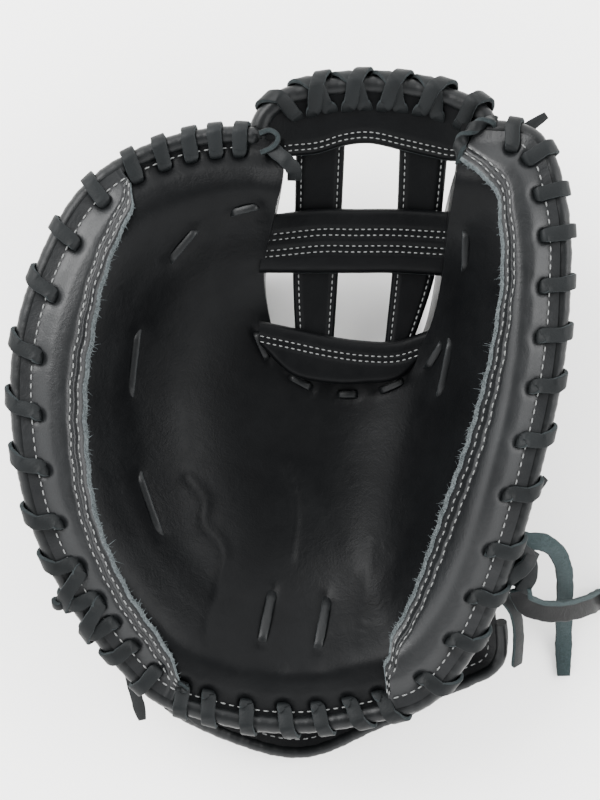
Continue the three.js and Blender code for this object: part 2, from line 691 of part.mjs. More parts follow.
// A sweep through stations, each with a middle and the two half axes of its section
const SQUARE = [
  [-1, -1],
  [1, -1],
  [1, 1],
  [-1, 1],
];
function sweep(stations, section) {
  const points = stations.flatMap(({ middle, a, b }) =>
    section.map(([p, q]) => middle.clone().addScaledVector(a, p).addScaledVector(b, q)),
  );
  const sides = section.length;
  const faces = [];
  for (let i = 0; i + 1 < stations.length; i += 1) {
    for (let j = 0; j < sides; j += 1) {
      const [p, q] = [i * sides + j, i * sides + ((j + 1) % sides)];
      faces.push(p, q, q + sides, p, q + sides, p + sides);
    }
  }
  const end = (stations.length - 1) * sides;
  for (let j = 1; j + 1 < sides; j += 1) {
    faces.push(0, j + 1, j);
    faces.push(end, end + j, end + j + 1);
  }
  return fromFaces(points, faces);
}

// A flat lace along points that each know which way its face looks. A point may also name
// the direction of the lace's width there, and otherwise it lies square to the path.
const MITRE_LIMIT = 1.6;
function lace(path, width, thickness) {
  const stations = path.map(({ point, face, across }, i) => {
    const before = path[Math.max(i - 1, 0)].point;
    const after = path[Math.min(i + 1, path.length - 1)].point;
    const into = point.clone().sub(before).normalize();
    const out = after.clone().sub(point).normalize();
    if (i === 0) into.copy(out);
    if (i === path.length - 1) out.copy(into);
    const tangent = into.clone().add(out).normalize();
    const side = (across || tangent.clone().cross(face)).clone().normalize();
    const normal = across ? face.clone().normalize() : side.clone().cross(tangent).normalize();
    const mitre = Math.min(1 / Math.max(tangent.dot(out), 1 / MITRE_LIMIT), MITRE_LIMIT);
    return {
      middle: point,
      a: normal.multiplyScalar((thickness / 2) * mitre),
      b: side.multiplyScalar(width / 2),
    };
  });
  return sweep(stations, SQUARE);
}

function tube(points, diameter, steps) {
  const shape = new THREE.Shape(
    Array.from({ length: ROUND_SIDES }, (_, i) => {
      const angle = ((i + 0.5) * 2 * Math.PI) / ROUND_SIDES;
      return new THREE.Vector2(Math.cos(angle), Math.sin(angle)).multiplyScalar(diameter / 2);
    }),
  );
  const extrudePath = new THREE.CatmullRomCurve3(points);
  return solid(new THREE.ExtrudeGeometry(shape, { steps, extrudePath }));
}

// A roll along the corners of a faceted edge, mitred at each corner
const ROUND = Array.from({ length: ROUND_SIDES }, (_, i) => {
  const angle = (i * 2 * Math.PI) / ROUND_SIDES;
  return [Math.cos(angle), Math.sin(angle)];
});
function edgeRoll(corners, diameter) {
  const radius = diameter / 2;
  const stations = corners.map((corner, i) => {
    const before = corners[Math.max(i - 1, 0)];
    const after = corners[Math.min(i + 1, corners.length - 1)];
    const into = corner.clone().sub(before).normalize();
    const leaving = after.clone().sub(corner).normalize();
    if (i === 0) into.copy(leaving);
    if (i === corners.length - 1) leaving.copy(into);
    const along = into.clone().add(leaving).normalize();
    const out = along.clone().cross(UP).normalize();
    const mitre = 1 / along.dot(leaving);
    return {
      middle: corner.clone().addScaledVector(out, (radius + CLEARANCE) * mitre),
      a: out.clone().multiplyScalar(radius * mitre),
      b: out.clone().cross(along).multiplyScalar(radius),
    };
  });
  return sweep(stations, ROUND);
}

// Upright prisms that cut the bowl
const CUT_LOW = -20;
const CUT_HIGH = 180;
const inMillimetres = ({ x, y }) => new THREE.Vector2(x * HALF_WIDTH, y * HALF_LENGTH);
function prism(outline, low, high) {
  const shape = new THREE.Shape(outline);
  const geometry = new THREE.ExtrudeGeometry(shape, { depth: high - low, bevelEnabled: false });
  return solid(geometry.translate(0, 0, low));
}

// The web's opening, drawn in all round by an inset
function notchPrism(inset) {
  const outline = new THREE.SplineCurve(NOTCH.map(inMillimetres)).getPoints(NOTCH_STEPS);
  const [first, last] = [NOTCH[0], NOTCH[NOTCH.length - 1]];
  const drawn = outline.map((p, i) => {
    const before = outline[Math.max(i - 1, 0)];
    const after = outline[Math.min(i + 1, outline.length - 1)];
    const along = after.clone().sub(before).normalize();
    return new THREE.Vector2(p.x - along.y * inset, p.y + along.x * inset);
  });
  drawn.push(inMillimetres({ x: last.x, y: NOTCH_MOUTH_Y }));
  drawn.push(inMillimetres({ x: first.x, y: NOTCH_MOUTH_Y }));
  return prism(drawn, CUT_LOW, CUT_HIGH);
}

function strapPrism(margin) {
  const outline = STRAP_EDGE.map(inMillimetres).map((p) => p.setY(p.y + margin));
  outline.push(inMillimetres({ x: STRAP_EDGE[STRAP_EDGE.length - 1].x, y: STRAP_FAR_Y }));
  outline.push(inMillimetres({ x: STRAP_EDGE[0].x, y: STRAP_FAR_Y }));
  return prism(outline, CUT_LOW, CUT_HIGH);
}

const OPENING_CUT_HEIGHT = 3 * SHELL_LEATHER;
function backOpeningPrism() {
  const { x, y, halfWidth, halfLength, points } = BACK_OPENING;
  const ellipse = new THREE.EllipseCurve(
    x * HALF_WIDTH,
    y * HALF_LENGTH,
    halfWidth * HALF_WIDTH,
    halfLength * HALF_LENGTH,
  );
  return prism(ellipse.getPoints(points).slice(0, -1), CUT_LOW, OPENING_CUT_HEIGHT);
}

// The stretch of the back that one of its panels takes
function backPanelPrism({ from, to }) {
  const [left, right] = [from * HALF_WIDTH + CLEARANCE / 2, to * HALF_WIDTH - CLEARANCE / 2];
  const far = BACK_FAR_Y * HALF_LENGTH;
  const outline = [
    new THREE.Vector2(left, -far),
    new THREE.Vector2(right, -far),
    new THREE.Vector2(right, far),
    new THREE.Vector2(left, far),
  ];
  return prism(outline, CUT_LOW, CUT_HIGH);
}

// The hollow that the fingers or the thumb fill, open at the bottom onto the back
function stall(sections) {
  const rowOf = (section, height) =>
    STALL_ACROSS.map((across) => {
      const share = (across + 1) / 2;
      const point = inPlan(section.left).lerp(inPlan(section.right), share);
      return point.setZ(height(point, across));
    });
  const roof = (point, across) => {
    const { bearing, distance } = polar(point);
    const base = backInside(bearing, distance, SHELL_LEATHER);
    const ceiling = palmHeight(bearing, distance) - PAD_OVER_HAND;
    const depth = Math.min(ceiling - base, HAND_DEPTH);
    return base + depth * (1 - STALL_ROUNDING * across ** STALL_CURVE);
  };
  const top = sections.map((section) => rowOf(section, roof));
  const bottom = sections.map((section) => rowOf(section, () => CUT_LOW));
  return slab(top, bottom);
}

// Crescents on the rim, lying on the palm facet for facet
const CRESCENT_RINGS = PALM_RINGS.slice(-3);
const LEAST_RING = 0.06;
const CRESCENT_CLEARANCE = 3 * CLEARANCE;
function crescent(rows) {
  const step = FULL_TURN / BEARINGS;
  const ends = rows.map((row) => row.bearing);
  const last = ends[ends.length - 1];
  const bearings = new Set(ends);
  for (let b = Math.ceil(ends[0] / step) * step; b < last; b += step) bearings.add(b);
  const inOrder = [...bearings].sort((a, b) => a - b);
  const grid = (raise) =>
    inOrder.map((bearing) => {
      const inner = smooth(rows, "bearing", "inner", bearing);
      const shares = CRESCENT_RINGS.map((ring, i) => Math.max(ring, mix(inner, 1, LEAST_RING * (i + 1))));
      return [inner, ...shares].map((share) => {
        const point = spot(bearing, share * chordEdge(bearing), 0);
        return point.setZ(palmAt(point) + raise);
      });
    });
  return slab(grid(CRESCENT_CLEARANCE + PANEL_LEATHER), grid(CRESCENT_CLEARANCE));
}
const covers = (rows, bearing) =>
  bearing >= rows[0].bearing && bearing <= rows[rows.length - 1].bearing;
function coverHeight(point) {
  const turn = inTurn(polar(point).bearing);
  const covered =
    covers(FINGER_CRESCENT, turn) ||
    covers(THUMB_CRESCENT, turn) ||
    covers(THUMB_CRESCENT, turn + FULL_TURN);
  return palmAt(point) + (covered ? CRESCENT_CLEARANCE + PANEL_LEATHER : 0);
}
const SUNK = 0.15;
const UNDER_ROOM = 0.8;
const OVER_ROOM = 0.4;
const onShell = (point) => mouth(polar(point).bearing, "sink") <= SUNK;
function undersideAt(place) {
  const [edge, rings, height] = onShell(place)
    ? [backEdge, BACK_RINGS, backHeight]
    : [palmEdge, PALM_RINGS, palmUnder];
  return (point) => facetHeight(edge, rings, height, point) - UNDER_ROOM;
}

// Lace wraps: over the roll from behind, across the border, down its hole and back behind.
// A frame gives the roll's middle, the way out of the leather and the leather's two faces.
const ROLL_ANGLES = [-90, -30, 30, 90];
const CORNER = 1 / Math.cos(radians((ROLL_ANGLES[1] - ROLL_ANGLES[0]) / 2));
const LACE_LIFT = LACE_THICKNESS / 2 + CLEARANCE;
const LOOP_ROOM = 0.3;
const SLIT_SIDES = [-1, 0, 1];
const holePlace = ({ middle, out }, inset) => middle.clone().addScaledVector(out, -inset);
function wrapPath(wraps, frameAt, rollDiameter, inset, extra = 0) {
  const loop = (rollDiameter / 2 + LACE_LIFT + LOOP_ROOM) * CORNER + extra;
  const path = [];
  for (const { over, hole } of wraps) {
    const { middle, out, up, along } = frameAt(over);
    for (const angle of ROLL_ANGLES) {
      const face = out.clone().multiplyScalar(Math.cos(radians(angle)));
      face.addScaledVector(up, Math.sin(radians(angle)));
      path.push({ point: middle.clone().addScaledVector(face, loop), face, across: along });
    }
    const end = frameAt(hole);
    const place = holePlace(end, inset);
    const sideways = end.out.clone().cross(UP).negate().normalize();
    const sides = SLIT_SIDES.map((side) =>
      place.clone().addScaledVector(sideways, (side * LACE_WIDTH) / 2),
    );
    const slit = (z, lean) => ({
      point: place.clone().setZ(z),
      face: end.out.clone().negate().addScaledVector(UP, lean),
      across: sideways,
    });
    path.push(slit(Math.max(...sides.map(end.front)) + LACE_LIFT + extra, 1));
    path.push(slit(Math.min(...sides.map(end.back)) - LACE_LIFT - extra, -1));
  }
  return path;
}

// The frame of a roll that runs anticlockwise: along it, square out of it and square up
function frameOn(pointAt, at, step) {
  const middle = pointAt(at);
  const along = pointAt(at + step).sub(pointAt(at - step)).normalize();
  const out = along.clone().cross(UP).normalize();
  return { middle, along, out, up: out.clone().cross(along) };
}
function rimFrame(bearing) {
  const frame = frameOn(rimPoint, bearing, RIM_STEP);
  return {
    ...frame,
    front: (point) => coverHeight(point) + OVER_ROOM,
    back: undersideAt(holePlace(frame, WRAP_HOLE_INSET)),
  };
}
const WEB_STEP = -0.01;
const webFrame = (x) => ({
  ...frameOn(webRollPoint, x, WEB_STEP),
  front: (point) => webHeight(point) + FRONT_LAYER + WEB_FRONT_THICKNESS,
  back: (point) => webHeight(point) + FRONT_LAYER,
});

// The holes that wraps go through, with room for the lace
function wrapHoles(wraps, frameAt, inset) {
  const room = 2 * CLEARANCE;
  return wraps.map(({ hole }) => {
    const frame = frameAt(hole);
    const place = holePlace(frame, inset);
    const box = new THREE.BoxGeometry(LACE_THICKNESS + room, LACE_WIDTH + room, CUT_HIGH - CUT_LOW);
    box.rotateZ(Math.atan2(frame.out.y, frame.out.x));
    box.translate(place.x, place.y, (CUT_HIGH + CUT_LOW) / 2);
    return solid(box);
  });
}

// A lace that shows between two slits in the palm, bowed up from it
const BOW = [
  { share: 0, raise: -SLIT_DEPTH },
  { share: 0.12, raise: LACE_LIFT },
  { share: 0.5, raise: LACE_LIFT + BOW_RISE },
  { share: 0.88, raise: LACE_LIFT },
  { share: 1, raise: -SLIT_DEPTH },
];
function slitLace({ from, to }, room = 0) {
  const path = BOW.map(({ share, raise }) => {
    const point = inPlan(from).lerp(inPlan(to), share);
    return { point: point.setZ(palmAt(point) + raise), face: UP };
  });
  return lace(path, LACE_WIDTH + room, LACE_THICKNESS + room);
}

// Web pieces, laid on the web's sheet
function webPiece(sections, low, thickness) {
  const grid = (raise) =>
    sections.map(({ left, right }) =>
      WEB_ACROSS.map((share) => {
        const point = inPlan(left).lerp(inPlan(right), share);
        return point.setZ(webHeight(point) + raise);
      }),
    );
  return slab(grid(low + thickness), grid(low));
}
const frontPiece = (sections) => webPiece(sections, FRONT_LAYER, WEB_FRONT_THICKNESS);
const rollCover = (WEB_ROLL_DIAMETER / 2 + ROLL_CLEARANCE) / HALF_LENGTH;
const topSections = TOP_PIECE.map(({ x, low }) => ({
  left: [x, webRollY(x) - rollCover],
  right: [x, low],
}));

// A lace tied over the tip of the rim to the web: places on the palm or the web with the
// height of the lace over them.
function tiePath(rows) {
  return rows.map(({ x, y, on, raise }) => {
    const point = inPlan([x, y]);
    const web = webHeight(point) + FRONT_LAYER + WEB_FRONT_THICKNESS;
    const ground = on === "palm" ? palmAt(point) : web;
    return { point: point.setZ(ground + LACE_LIFT + raise), face: UP };
  });
}

// A knot: a ring of lace drawn tight round a lump. The ring's middle, the ring's own half
// thickness and the lump are shares of the knot's radius.
const KNOT = { ring: 0.62, half: 0.38, lump: 0.85, sides: 5, steps: 8 };
function knot(middle, heading, radius) {
  const ring = new THREE.TorusGeometry(radius * KNOT.ring, radius * KNOT.half, KNOT.sides, KNOT.steps);
  ring.rotateX(Math.PI / 2).rotateZ(radians(heading));
  const lump = new THREE.IcosahedronGeometry(radius * KNOT.lump, 0);
  const place = (geometry) => solid(geometry.translate(middle.x, middle.y, middle.z));
  return place(ring).add(place(lump));
}

// A loose end of a rim lace, from under the roll outwards and down
function tailPath({ bearing, turn, length, drop }) {
  const { middle, out } = rimFrame(bearing);
  const away = out.clone().applyAxisAngle(UP, radians(turn));
  const start = middle.clone().addScaledVector(UP, -(ROLL_DIAMETER / 2 + LACE_LIFT));
  return TAIL.map(({ share, fall }) => ({
    point: start.clone().addScaledVector(away, share * length).addScaledVector(UP, -fall * drop),
    face: UP,
  }));
}

const leather = (color, roughness) =>
  new THREE.MeshStandardMaterial({ color, roughness, metalness: 0 });
const LOOKS = {
  palm: leather(0x141517, 0.5),
  panel: leather(0x17191b, 0.45),
  back: leather(0x131416, 0.55),
  lace: leather(0x202527, 0.7),
  suede: leather(0x46585b, 0.9),
};

const pieces = [];
const add = (name, body, look) => pieces.push({ name, body, look });

function addPalmAndBack(notch) {
  const wraps = [...FINGER_WRAPS, ...HEEL_WRAPS, ...THUMB_WRAPS];
  const shellWraps = wraps.filter(({ hole }) => onShell(holePlace(rimFrame(hole), WRAP_HOLE_INSET)));
  const holes = wasm.Manifold.union(wrapHoles(wraps, rimFrame, WRAP_HOLE_INSET));
  const shellHoles = wasm.Manifold.union(wrapHoles(shellWraps, rimFrame, WRAP_HOLE_INSET));
  const slits = wasm.Manifold.union(PALM_LACES.map((row) => slitLace(row, 2 * CLEARANCE)));
  const blank = bowl(palmEdge, PALM_RINGS, palmHeight, palmUnder);
  const hollow = stall(FINGER_STALLS).add(stall(THUMB_STALL));
  const palm = blank.subtract(notch).subtract(hollow).subtract(holes).subtract(slits);
  add("palm_pad", palm, "palm");

  const inside = (bearing, distance) => backInside(bearing, distance, SHELL_LEATHER);
  const back = bowl(backEdge, BACK_RINGS, inside, backHeight).subtract(notch);
  const shell = back.subtract(strapPrism(CLEARANCE)).subtract(backOpeningPrism());
  const laced = shell.subtract(shellHoles);
  for (const row of BACK_PANELS) add(row.name, laced.intersect(backPanelPrism(row)), "back");
  add("wrist_strap", back.intersect(strapPrism(0)).subtract(shellHoles), "back");

  for (const [name, rows] of [
    ["finger_rim_panel", FINGER_CRESCENT],
    ["thumb_rim_panel", THUMB_CRESCENT],
  ]) {
    add(name, crescent(rows).subtract(notch).subtract(holes), "panel");
  }
}

function addRimRoll() {
  const points = Array.from({ length: ROLL_STEPS + 1 }, (_, i) =>
    rimPoint(mix(ROLL_START, ROLL_END, i / ROLL_STEPS)),
  );
  add("rim_roll", tube(points, ROLL_DIAMETER, ROLL_STEPS), "panel");
}

function addLaces() {
  for (const [name, wraps] of [
    ["rim_lace_finger", FINGER_WRAPS],
    ["rim_lace_heel", HEEL_WRAPS],
    ["rim_lace_thumb", THUMB_WRAPS],
  ]) {
    const path = wrapPath(wraps, rimFrame, ROLL_DIAMETER, WRAP_HOLE_INSET);
    add(name, lace(path, LACE_WIDTH, LACE_THICKNESS), "lace");
  }
  for (const row of PALM_LACES) add(row.name, slitLace(row), "lace");
  for (const row of LACE_TAILS) {
    add(row.name, lace(tailPath(row), LACE_WIDTH * row.width, LACE_THICKNESS), "lace");
  }
  add("finger_tip_lace", lace(tiePath(FINGER_TIE), LACE_WIDTH, LACE_THICKNESS), "lace");
  add("thumb_tip_lace", lace(tiePath(THUMB_TIE), LACE_WIDTH, LACE_THICKNESS), "lace");
}

function addWeb() {
  const clear = notchPrism(CLEARANCE);
  const holes = wasm.Manifold.union([
    ...wrapHoles(WEB_WRAPS, webFrame, WEB_HOLE_INSET),
    ...wrapHoles(WEB_WRAPS_OVER, webFrame, WEB_HOLE_INSET),
  ]);
  add("web_post_finger", webPiece(POST_FINGER, 0, POST_THICKNESS), "panel");
  add("web_post_thumb", webPiece(POST_THUMB, 0, POST_THICKNESS), "panel");
  add("web_crossbar", frontPiece(CROSSBAR).intersect(clear), "panel");
  add("web_base", frontPiece(BASE).intersect(clear), "panel");
  add("web_top", frontPiece(topSections).subtract(holes), "panel");
  const rollPoints = WEB_ROLL.map(({ x }) => webRollPoint(x));
  add("web_top_roll", tube(rollPoints, WEB_ROLL_DIAMETER, WEB_ROLL_STEPS), "panel");
  const under = wrapPath(WEB_WRAPS, webFrame, WEB_ROLL_DIAMETER, WEB_HOLE_INSET);
  add("web_top_lace", lace(under, LACE_WIDTH, LACE_THICKNESS), "lace");
  const raise = LACE_THICKNESS + 5 * CLEARANCE;
  const over = wrapPath(WEB_WRAPS_OVER, webFrame, WEB_ROLL_DIAMETER, WEB_HOLE_INSET, raise);
  add("web_top_lace_over", lace(over, LACE_WIDTH, LACE_THICKNESS), "lace");
}

const strip = (rows) => rows.map(({ x, y, z }) => ({ point: vector(x, y, z), face: UP }));
function addWrist() {
  const corners = [];
  const step = FULL_TURN / BEARINGS;
  for (let bearing = BINDING_START; bearing <= BINDING_END; bearing += step) {
    const middle = edgeHeight(bearing) + SHELL_LEATHER / 2;
    corners.push(spot(bearing, backEdge(bearing), middle));
  }
  add("wrist_binding", edgeRoll(corners, BINDING_DIAMETER), "panel");

  const { x, y, z, heading } = WRIST_KNOT;
  add("wrist_knot", knot(vector(x, y, z), heading, WRIST_KNOT_RADIUS), "lace");
  add("lace_tail_wrist", lace(strip(SHORT_END), LACE_WIDTH, LACE_THICKNESS), "lace");
  add("wrist_lace_under", lace(strip(UNDER_END), WRIST_LACE_WIDTH, WRIST_LACE_THICKNESS), "suede");
  add("wrist_lace_over", lace(strip(OVER_END), WRIST_LACE_WIDTH, WRIST_LACE_THICKNESS), "lace");

  const { middle, out } = rimFrame(RIM_KNOT_BEARING);
  const reach = ROLL_DIAMETER / 2 + RIM_KNOT_RADIUS + CLEARANCE;
  const place = middle.clone().addScaledVector(out, reach);
  add("rim_knot", knot(place, RIM_KNOT_BEARING, RIM_KNOT_RADIUS), "lace");
}

addPalmAndBack(notchPrism(0));
addRimRoll();
addLaces();
addWeb();
addWrist();

// The origin is the middle of the mitt on the floor, measured without the two free ends
const FREE_ENDS = ["wrist_lace_under", "wrist_lace_over"];
const mitt = new THREE.Group();
const box = new THREE.Box3();
const shapes = pieces.map((piece) => ({ ...piece, geometry: geometryOf(piece.body) }));
for (const { name, geometry } of shapes) {
  geometry.computeBoundingBox();
  if (!FREE_ENDS.includes(name)) box.union(geometry.boundingBox);
}
const centre = box.getCenter(vector(0, 0, 0));
for (const { name, geometry, look } of shapes) {
  geometry.translate(-centre.x, -centre.y, -box.min.z);
  const mesh = new THREE.Mesh(geometry, LOOKS[look].clone());
  mesh.name = name;
  mitt.add(mesh);
}

export default mitt;
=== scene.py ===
"""A softball catcher mitt for the right hand, lying on its back with the palm up."""

import math

import bmesh
import bpy
import numpy as np
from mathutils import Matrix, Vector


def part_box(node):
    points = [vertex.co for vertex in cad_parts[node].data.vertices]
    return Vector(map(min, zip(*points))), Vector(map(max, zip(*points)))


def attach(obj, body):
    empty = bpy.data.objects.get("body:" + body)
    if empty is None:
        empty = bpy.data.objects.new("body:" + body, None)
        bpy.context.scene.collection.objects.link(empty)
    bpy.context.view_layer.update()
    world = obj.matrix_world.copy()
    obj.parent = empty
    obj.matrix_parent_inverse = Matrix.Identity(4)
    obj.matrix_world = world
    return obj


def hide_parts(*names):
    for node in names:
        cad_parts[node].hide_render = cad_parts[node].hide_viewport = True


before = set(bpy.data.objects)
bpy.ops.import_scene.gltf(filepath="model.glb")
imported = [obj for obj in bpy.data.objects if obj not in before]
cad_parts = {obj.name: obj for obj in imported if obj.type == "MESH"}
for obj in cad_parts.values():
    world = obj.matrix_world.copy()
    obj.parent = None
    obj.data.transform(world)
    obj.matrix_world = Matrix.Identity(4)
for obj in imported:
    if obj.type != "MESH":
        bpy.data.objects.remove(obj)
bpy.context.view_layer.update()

# Sizes in millimetres, as the solids have them
HALF_WIDTH = 122
HALF_LENGTH = 142
RIM_HEIGHT = 98
POCKET_HEIGHT = 36
LIP_HEIGHT = 11
CREST = 7
SHELL_LEATHER = 3
PALM_LEATHER = 2.6
PANEL_LEATHER = 2
PAD_OVER_HAND = 10
HAND_DEPTH = 32
FLANGE_WIDTH = 17
FLANGE_DROP = 3
CLEARANCE = 0.35
NEST_CLEARANCE = 0.9
MOUTH_CLEARANCE = 5
ROLL_CLEARANCE = 0.9
ROLL_DIAMETER = 8.5
WEB_ROLL_DIAMETER = 9
BINDING_DIAMETER = 6
LACE_WIDTH = 6.5
LACE_THICKNESS = 2.4
POST_THICKNESS = 4.4
WEB_FRONT_THICKNESS = 4.8
WEB_LOW = 40
WEB_RISE = 24
RIM_KNOT_RADIUS = 5
WRIST_LACE_THICKNESS = 2.6
FULL_TURN = 360
BINDING_START = 240
BINDING_END = 320
RIM_KNOT_BEARING = 210.5
# These follow the photo: the solids' are a little different, or they have none
WRAP_HOLE_INSET = 9.6
WEB_HOLE_INSET = 11
ROLL_START = 99.5
ROLL_END = 416.5
STITCH_START = 102
STITCH_END = 411
POCKET = np.array([0.05 * HALF_WIDTH, -0.1 * HALF_LENGTH])
UP = np.array([0.0, 0.0, 1.0])


def table(columns, *rows):
    """Rows of numbers as named columns."""
    names = columns.split()
    return {name: np.array(values, float) for name, values in zip(names, zip(*rows))}


# The rim roll's middle. Bearings are degrees anticlockwise from the thumb side, seen from the
# bottom of the pocket, reach is a share of the half sizes and rise of the rim's height.
RIM = table(
    "bearing reach rise",
    (10, 0.91, 0.99), (25, 1.025, 1.01), (38, 1.17, 1.0), (48, 1.25, 0.96), (57, 1.16, 0.9),
    (76, 1.05, 0.86), (95, 0.95, 0.84), (105, 0.99, 0.81), (120, 1.055, 0.8), (135, 1.105, 0.84),
    (150, 1.09, 0.88), (165, 1.07, 0.89), (180, 1.035, 0.88), (195, 1.01, 0.85), (210, 0.99, 0.78),
    (225, 0.985, 0.71), (237, 0.99, 0.67), (250, 0.955, 0.64), (270, 0.93, 0.63),
    (285, 0.93, 0.64), (298, 0.955, 0.67), (310, 0.915, 0.73), (325, 0.855, 0.82),
    (340, 0.825, 0.91), (355, 0.84, 0.96),
)

# The palm from the bottom of the pocket to its laced edge
BOWL = table(
    "share lift crest",
    (0, 0, 0), (0.25, 0.03, 0), (0.45, 0.17, 0), (0.6, 0.42, 0.1), (0.72, 0.7, 0.5),
    (0.84, 0.92, 1), (0.92, 0.985, 0.65), (1, 1, 0),
)

# The wrist opening
MOUTH = table(
    "bearing out sink open",
    (222, 0, 0, 0), (235, 0.04, 0.3, 1), (245, 0.095, 0.68, 1), (255, 0.13, 0.9, 1),
    (270, 0.165, 1, 1), (285, 0.11, 0.95, 1), (300, 0.085, 0.9, 1), (308, 0.15, 0.86, 1),
    (315, 0.2, 0.8, 1), (322, 0.11, 0.6, 1), (328, 0.035, 0.3, 1), (335, 0, 0, 0),
)

# Raw edges of the two crescents, as shares of the way from the pocket to the laced edge
FINGER_CRESCENT = table(
    "bearing inner",
    (128.5, 0.97), (131, 0.9), (137, 0.86), (148, 0.825), (160, 0.795), (183, 0.8), (200, 0.828),
    (215, 0.852), (234, 0.89), (240.5, 0.97),
)
THUMB_CRESCENT = table(
    "bearing inner",
    (290.5, 0.97), (292, 0.87), (294, 0.84), (297, 0.78), (306, 0.742), (318, 0.716), (336, 0.71),
    (355, 0.73), (372, 0.748), (390, 0.786), (403, 0.82), (406.5, 0.84), (410, 0.86), (417, 0.925),
)

# The opening between thumb and finger that the web fills, in shares of the half sizes
NOTCH = table(
    "x y",
    (-0.02, 0.98), (-0.025, 0.74), (-0.055, 0.62), (-0.1, 0.45), (-0.09, 0.32), (-0.05, 0.21),
    (0.04, 0.13), (0.18, 0.09), (0.32, 0.095), (0.44, 0.14), (0.52, 0.24), (0.565, 0.4),
    (0.585, 0.6), (0.61, 0.77), (0.64, 0.98),
)
NOTCH_MOUTH_Y = 1.4

# Lace wraps: the bearing where each crosses the roll and the bearing of its hole
FINGER_WRAPS = table(
    "over hole",
    (103.5, 103.8), (108.7, 109.2), (113.7, 114.7), (119.7, 120.6), (125.9, 126.8), (133.9, 135.2),
    (142.9, 145), (151.6, 155), (162.5, 166.3), (172, 176.5), (181.6, 186.6), (192.3, 197),
    (201.2, 206), (209.5, 213.6), (217.3, 219.6), (223.5, 226), (232.5, 233),
)
HEEL_WRAPS = table(
    "over hole",
    (243, 240.7), (249.5, 246.8), (258.1, 255.8), (267.7, 264.9), (275.6, 273.2), (285, 281),
    (293, 288),
)
THUMB_WRAPS = table(
    "over hole",
    (305.5, 300.5), (316.6, 311.5), (326.6, 322), (337.5, 333.1), (350.6, 346.1), (362.1, 358),
    (372.3, 369), (380.4, 378.3), (387.9, 386.4), (394.6, 393.8), (400.1, 399.9), (405.5, 405.8),
    (411.4, 411.4),
)
ALL_WRAPS = (FINGER_WRAPS, HEEL_WRAPS, THUMB_WRAPS)
CROSSED_WRAPS = table(
    "over hole",
    (212.5, 206.6), (219.5, 214.2),
)

# Laces that show on the palm between two slits, in shares of the half sizes
PALM_LACES = {
    "palm_lace_finger_1": ((-0.22, 0.61), (-0.12, 0.63)),
    "palm_lace_finger_2": ((-0.45, 0.46), (-0.35, 0.56)),
    "palm_lace_finger_3": ((-0.6, 0.03), (-0.57, 0.24)),
    "palm_lace_finger_4": ((-0.49, -0.42), (-0.57, -0.22)),
    "palm_lace_heel_1": ((-0.11, -0.77), (-0.07, -0.61)),
    "palm_lace_heel_2": ((0.1, -0.79), (0.14, -0.63)),
    "palm_lace_thumb_1": ((0.645, 0.55), (0.645, 0.43)),
    "palm_lace_thumb_2": ((0.6, 0.21), (0.56, 0.03)),
    "base_lace_1": ((-0.135, 0.24), (-0.09, 0.15)),
    "base_lace_2": ((-0.005, 0.095), (0.08, 0.055)),
    "base_lace_3": ((0.18, 0.035), (0.255, 0.035)),
    "base_lace_4": ((0.34, 0.045), (0.43, 0.08)),
    "base_lace_5": ((0.515, 0.12), (0.57, 0.2)),
}

# Loose ends of the laces: bearing, turn from the straight way out, length, drop and width
LACE_TAILS = {
    "lace_tail_finger": (228, 60, 28, 16, 0.85),
    "lace_tail_heel": (241, 66, 17, 12, 0.85),
    "lace_tail_thumb": (345, 60, 16, 5, 0.7),
    "lace_tail_tip": (410.5, -38, 15, 2, 0.75),
}
TAIL = ((0, 0), (0.4, 0.3), (0.8, 0.75), (1, 1))

# Ties at the tips of the rim: x and y in shares, and how far the lace stands over the palm
FINGER_TIE = (
    (-0.075, 0.815, 1.5), (-0.045, 0.79, 2.2), (-0.012, 0.765, 1), (0.012, 0.74, -3),
    (0.014, 0.715, -8),
)
FINGER_HAIRPIN = (
    (-0.11, 0.855, 2.0), (-0.072, 0.862, 2.4), (-0.046, 0.842, 2.8), (-0.058, 0.815, 2.6),
    (-0.105, 0.795, 1.6),
)
THUMB_TIE = (
    (0.745, 0.885, -0.5), (0.722, 0.888, 2.6), (0.698, 0.881, 3.4), (0.674, 0.87, 3.4),
    (0.65, 0.855, 3.2), (0.63, 0.838, 2.8), (0.617, 0.815, 2), (0.613, 0.79, 0.5),
    (0.618, 0.765, -4),
)
TIE_TWIST = 62

# The wrist's laces, in millimetres
UNDER_END_WIDTH = 8
OVER_END_WIDTH = 10
SHORT_END_WIDTH = 5.5
WRIST_KNOT = (105.1, -76.7, 78.6)
SHORT_END = (
    (91, -80, 63), (98, -88, 59.5), (104, -97, 52), (106.5, -109, 40), (107, -123, 26),
)
UNDER_END = (
    (103, -60.5, 76.5), (108, -61.5, 74.5), (115, -62.5, 70.5), (121.5, -67, 63.5), (126, -75, 53),
    (128.5, -85.5, 38), (130, -97.5, 22), (131.5, -110, 8), (132, -121, 2.5), (132.2, -131.5, 1.4),
)
OVER_END = (
    (103.7, -82.9, 76.4), (106.5, -90, 70), (116.4, -94.6, 58.5), (129.5, -96, 42),
    (141.5, -95, 23), (148.5, -94, 6.5), (154, -92.8, 1.6), (158, -92, 1.4),
)

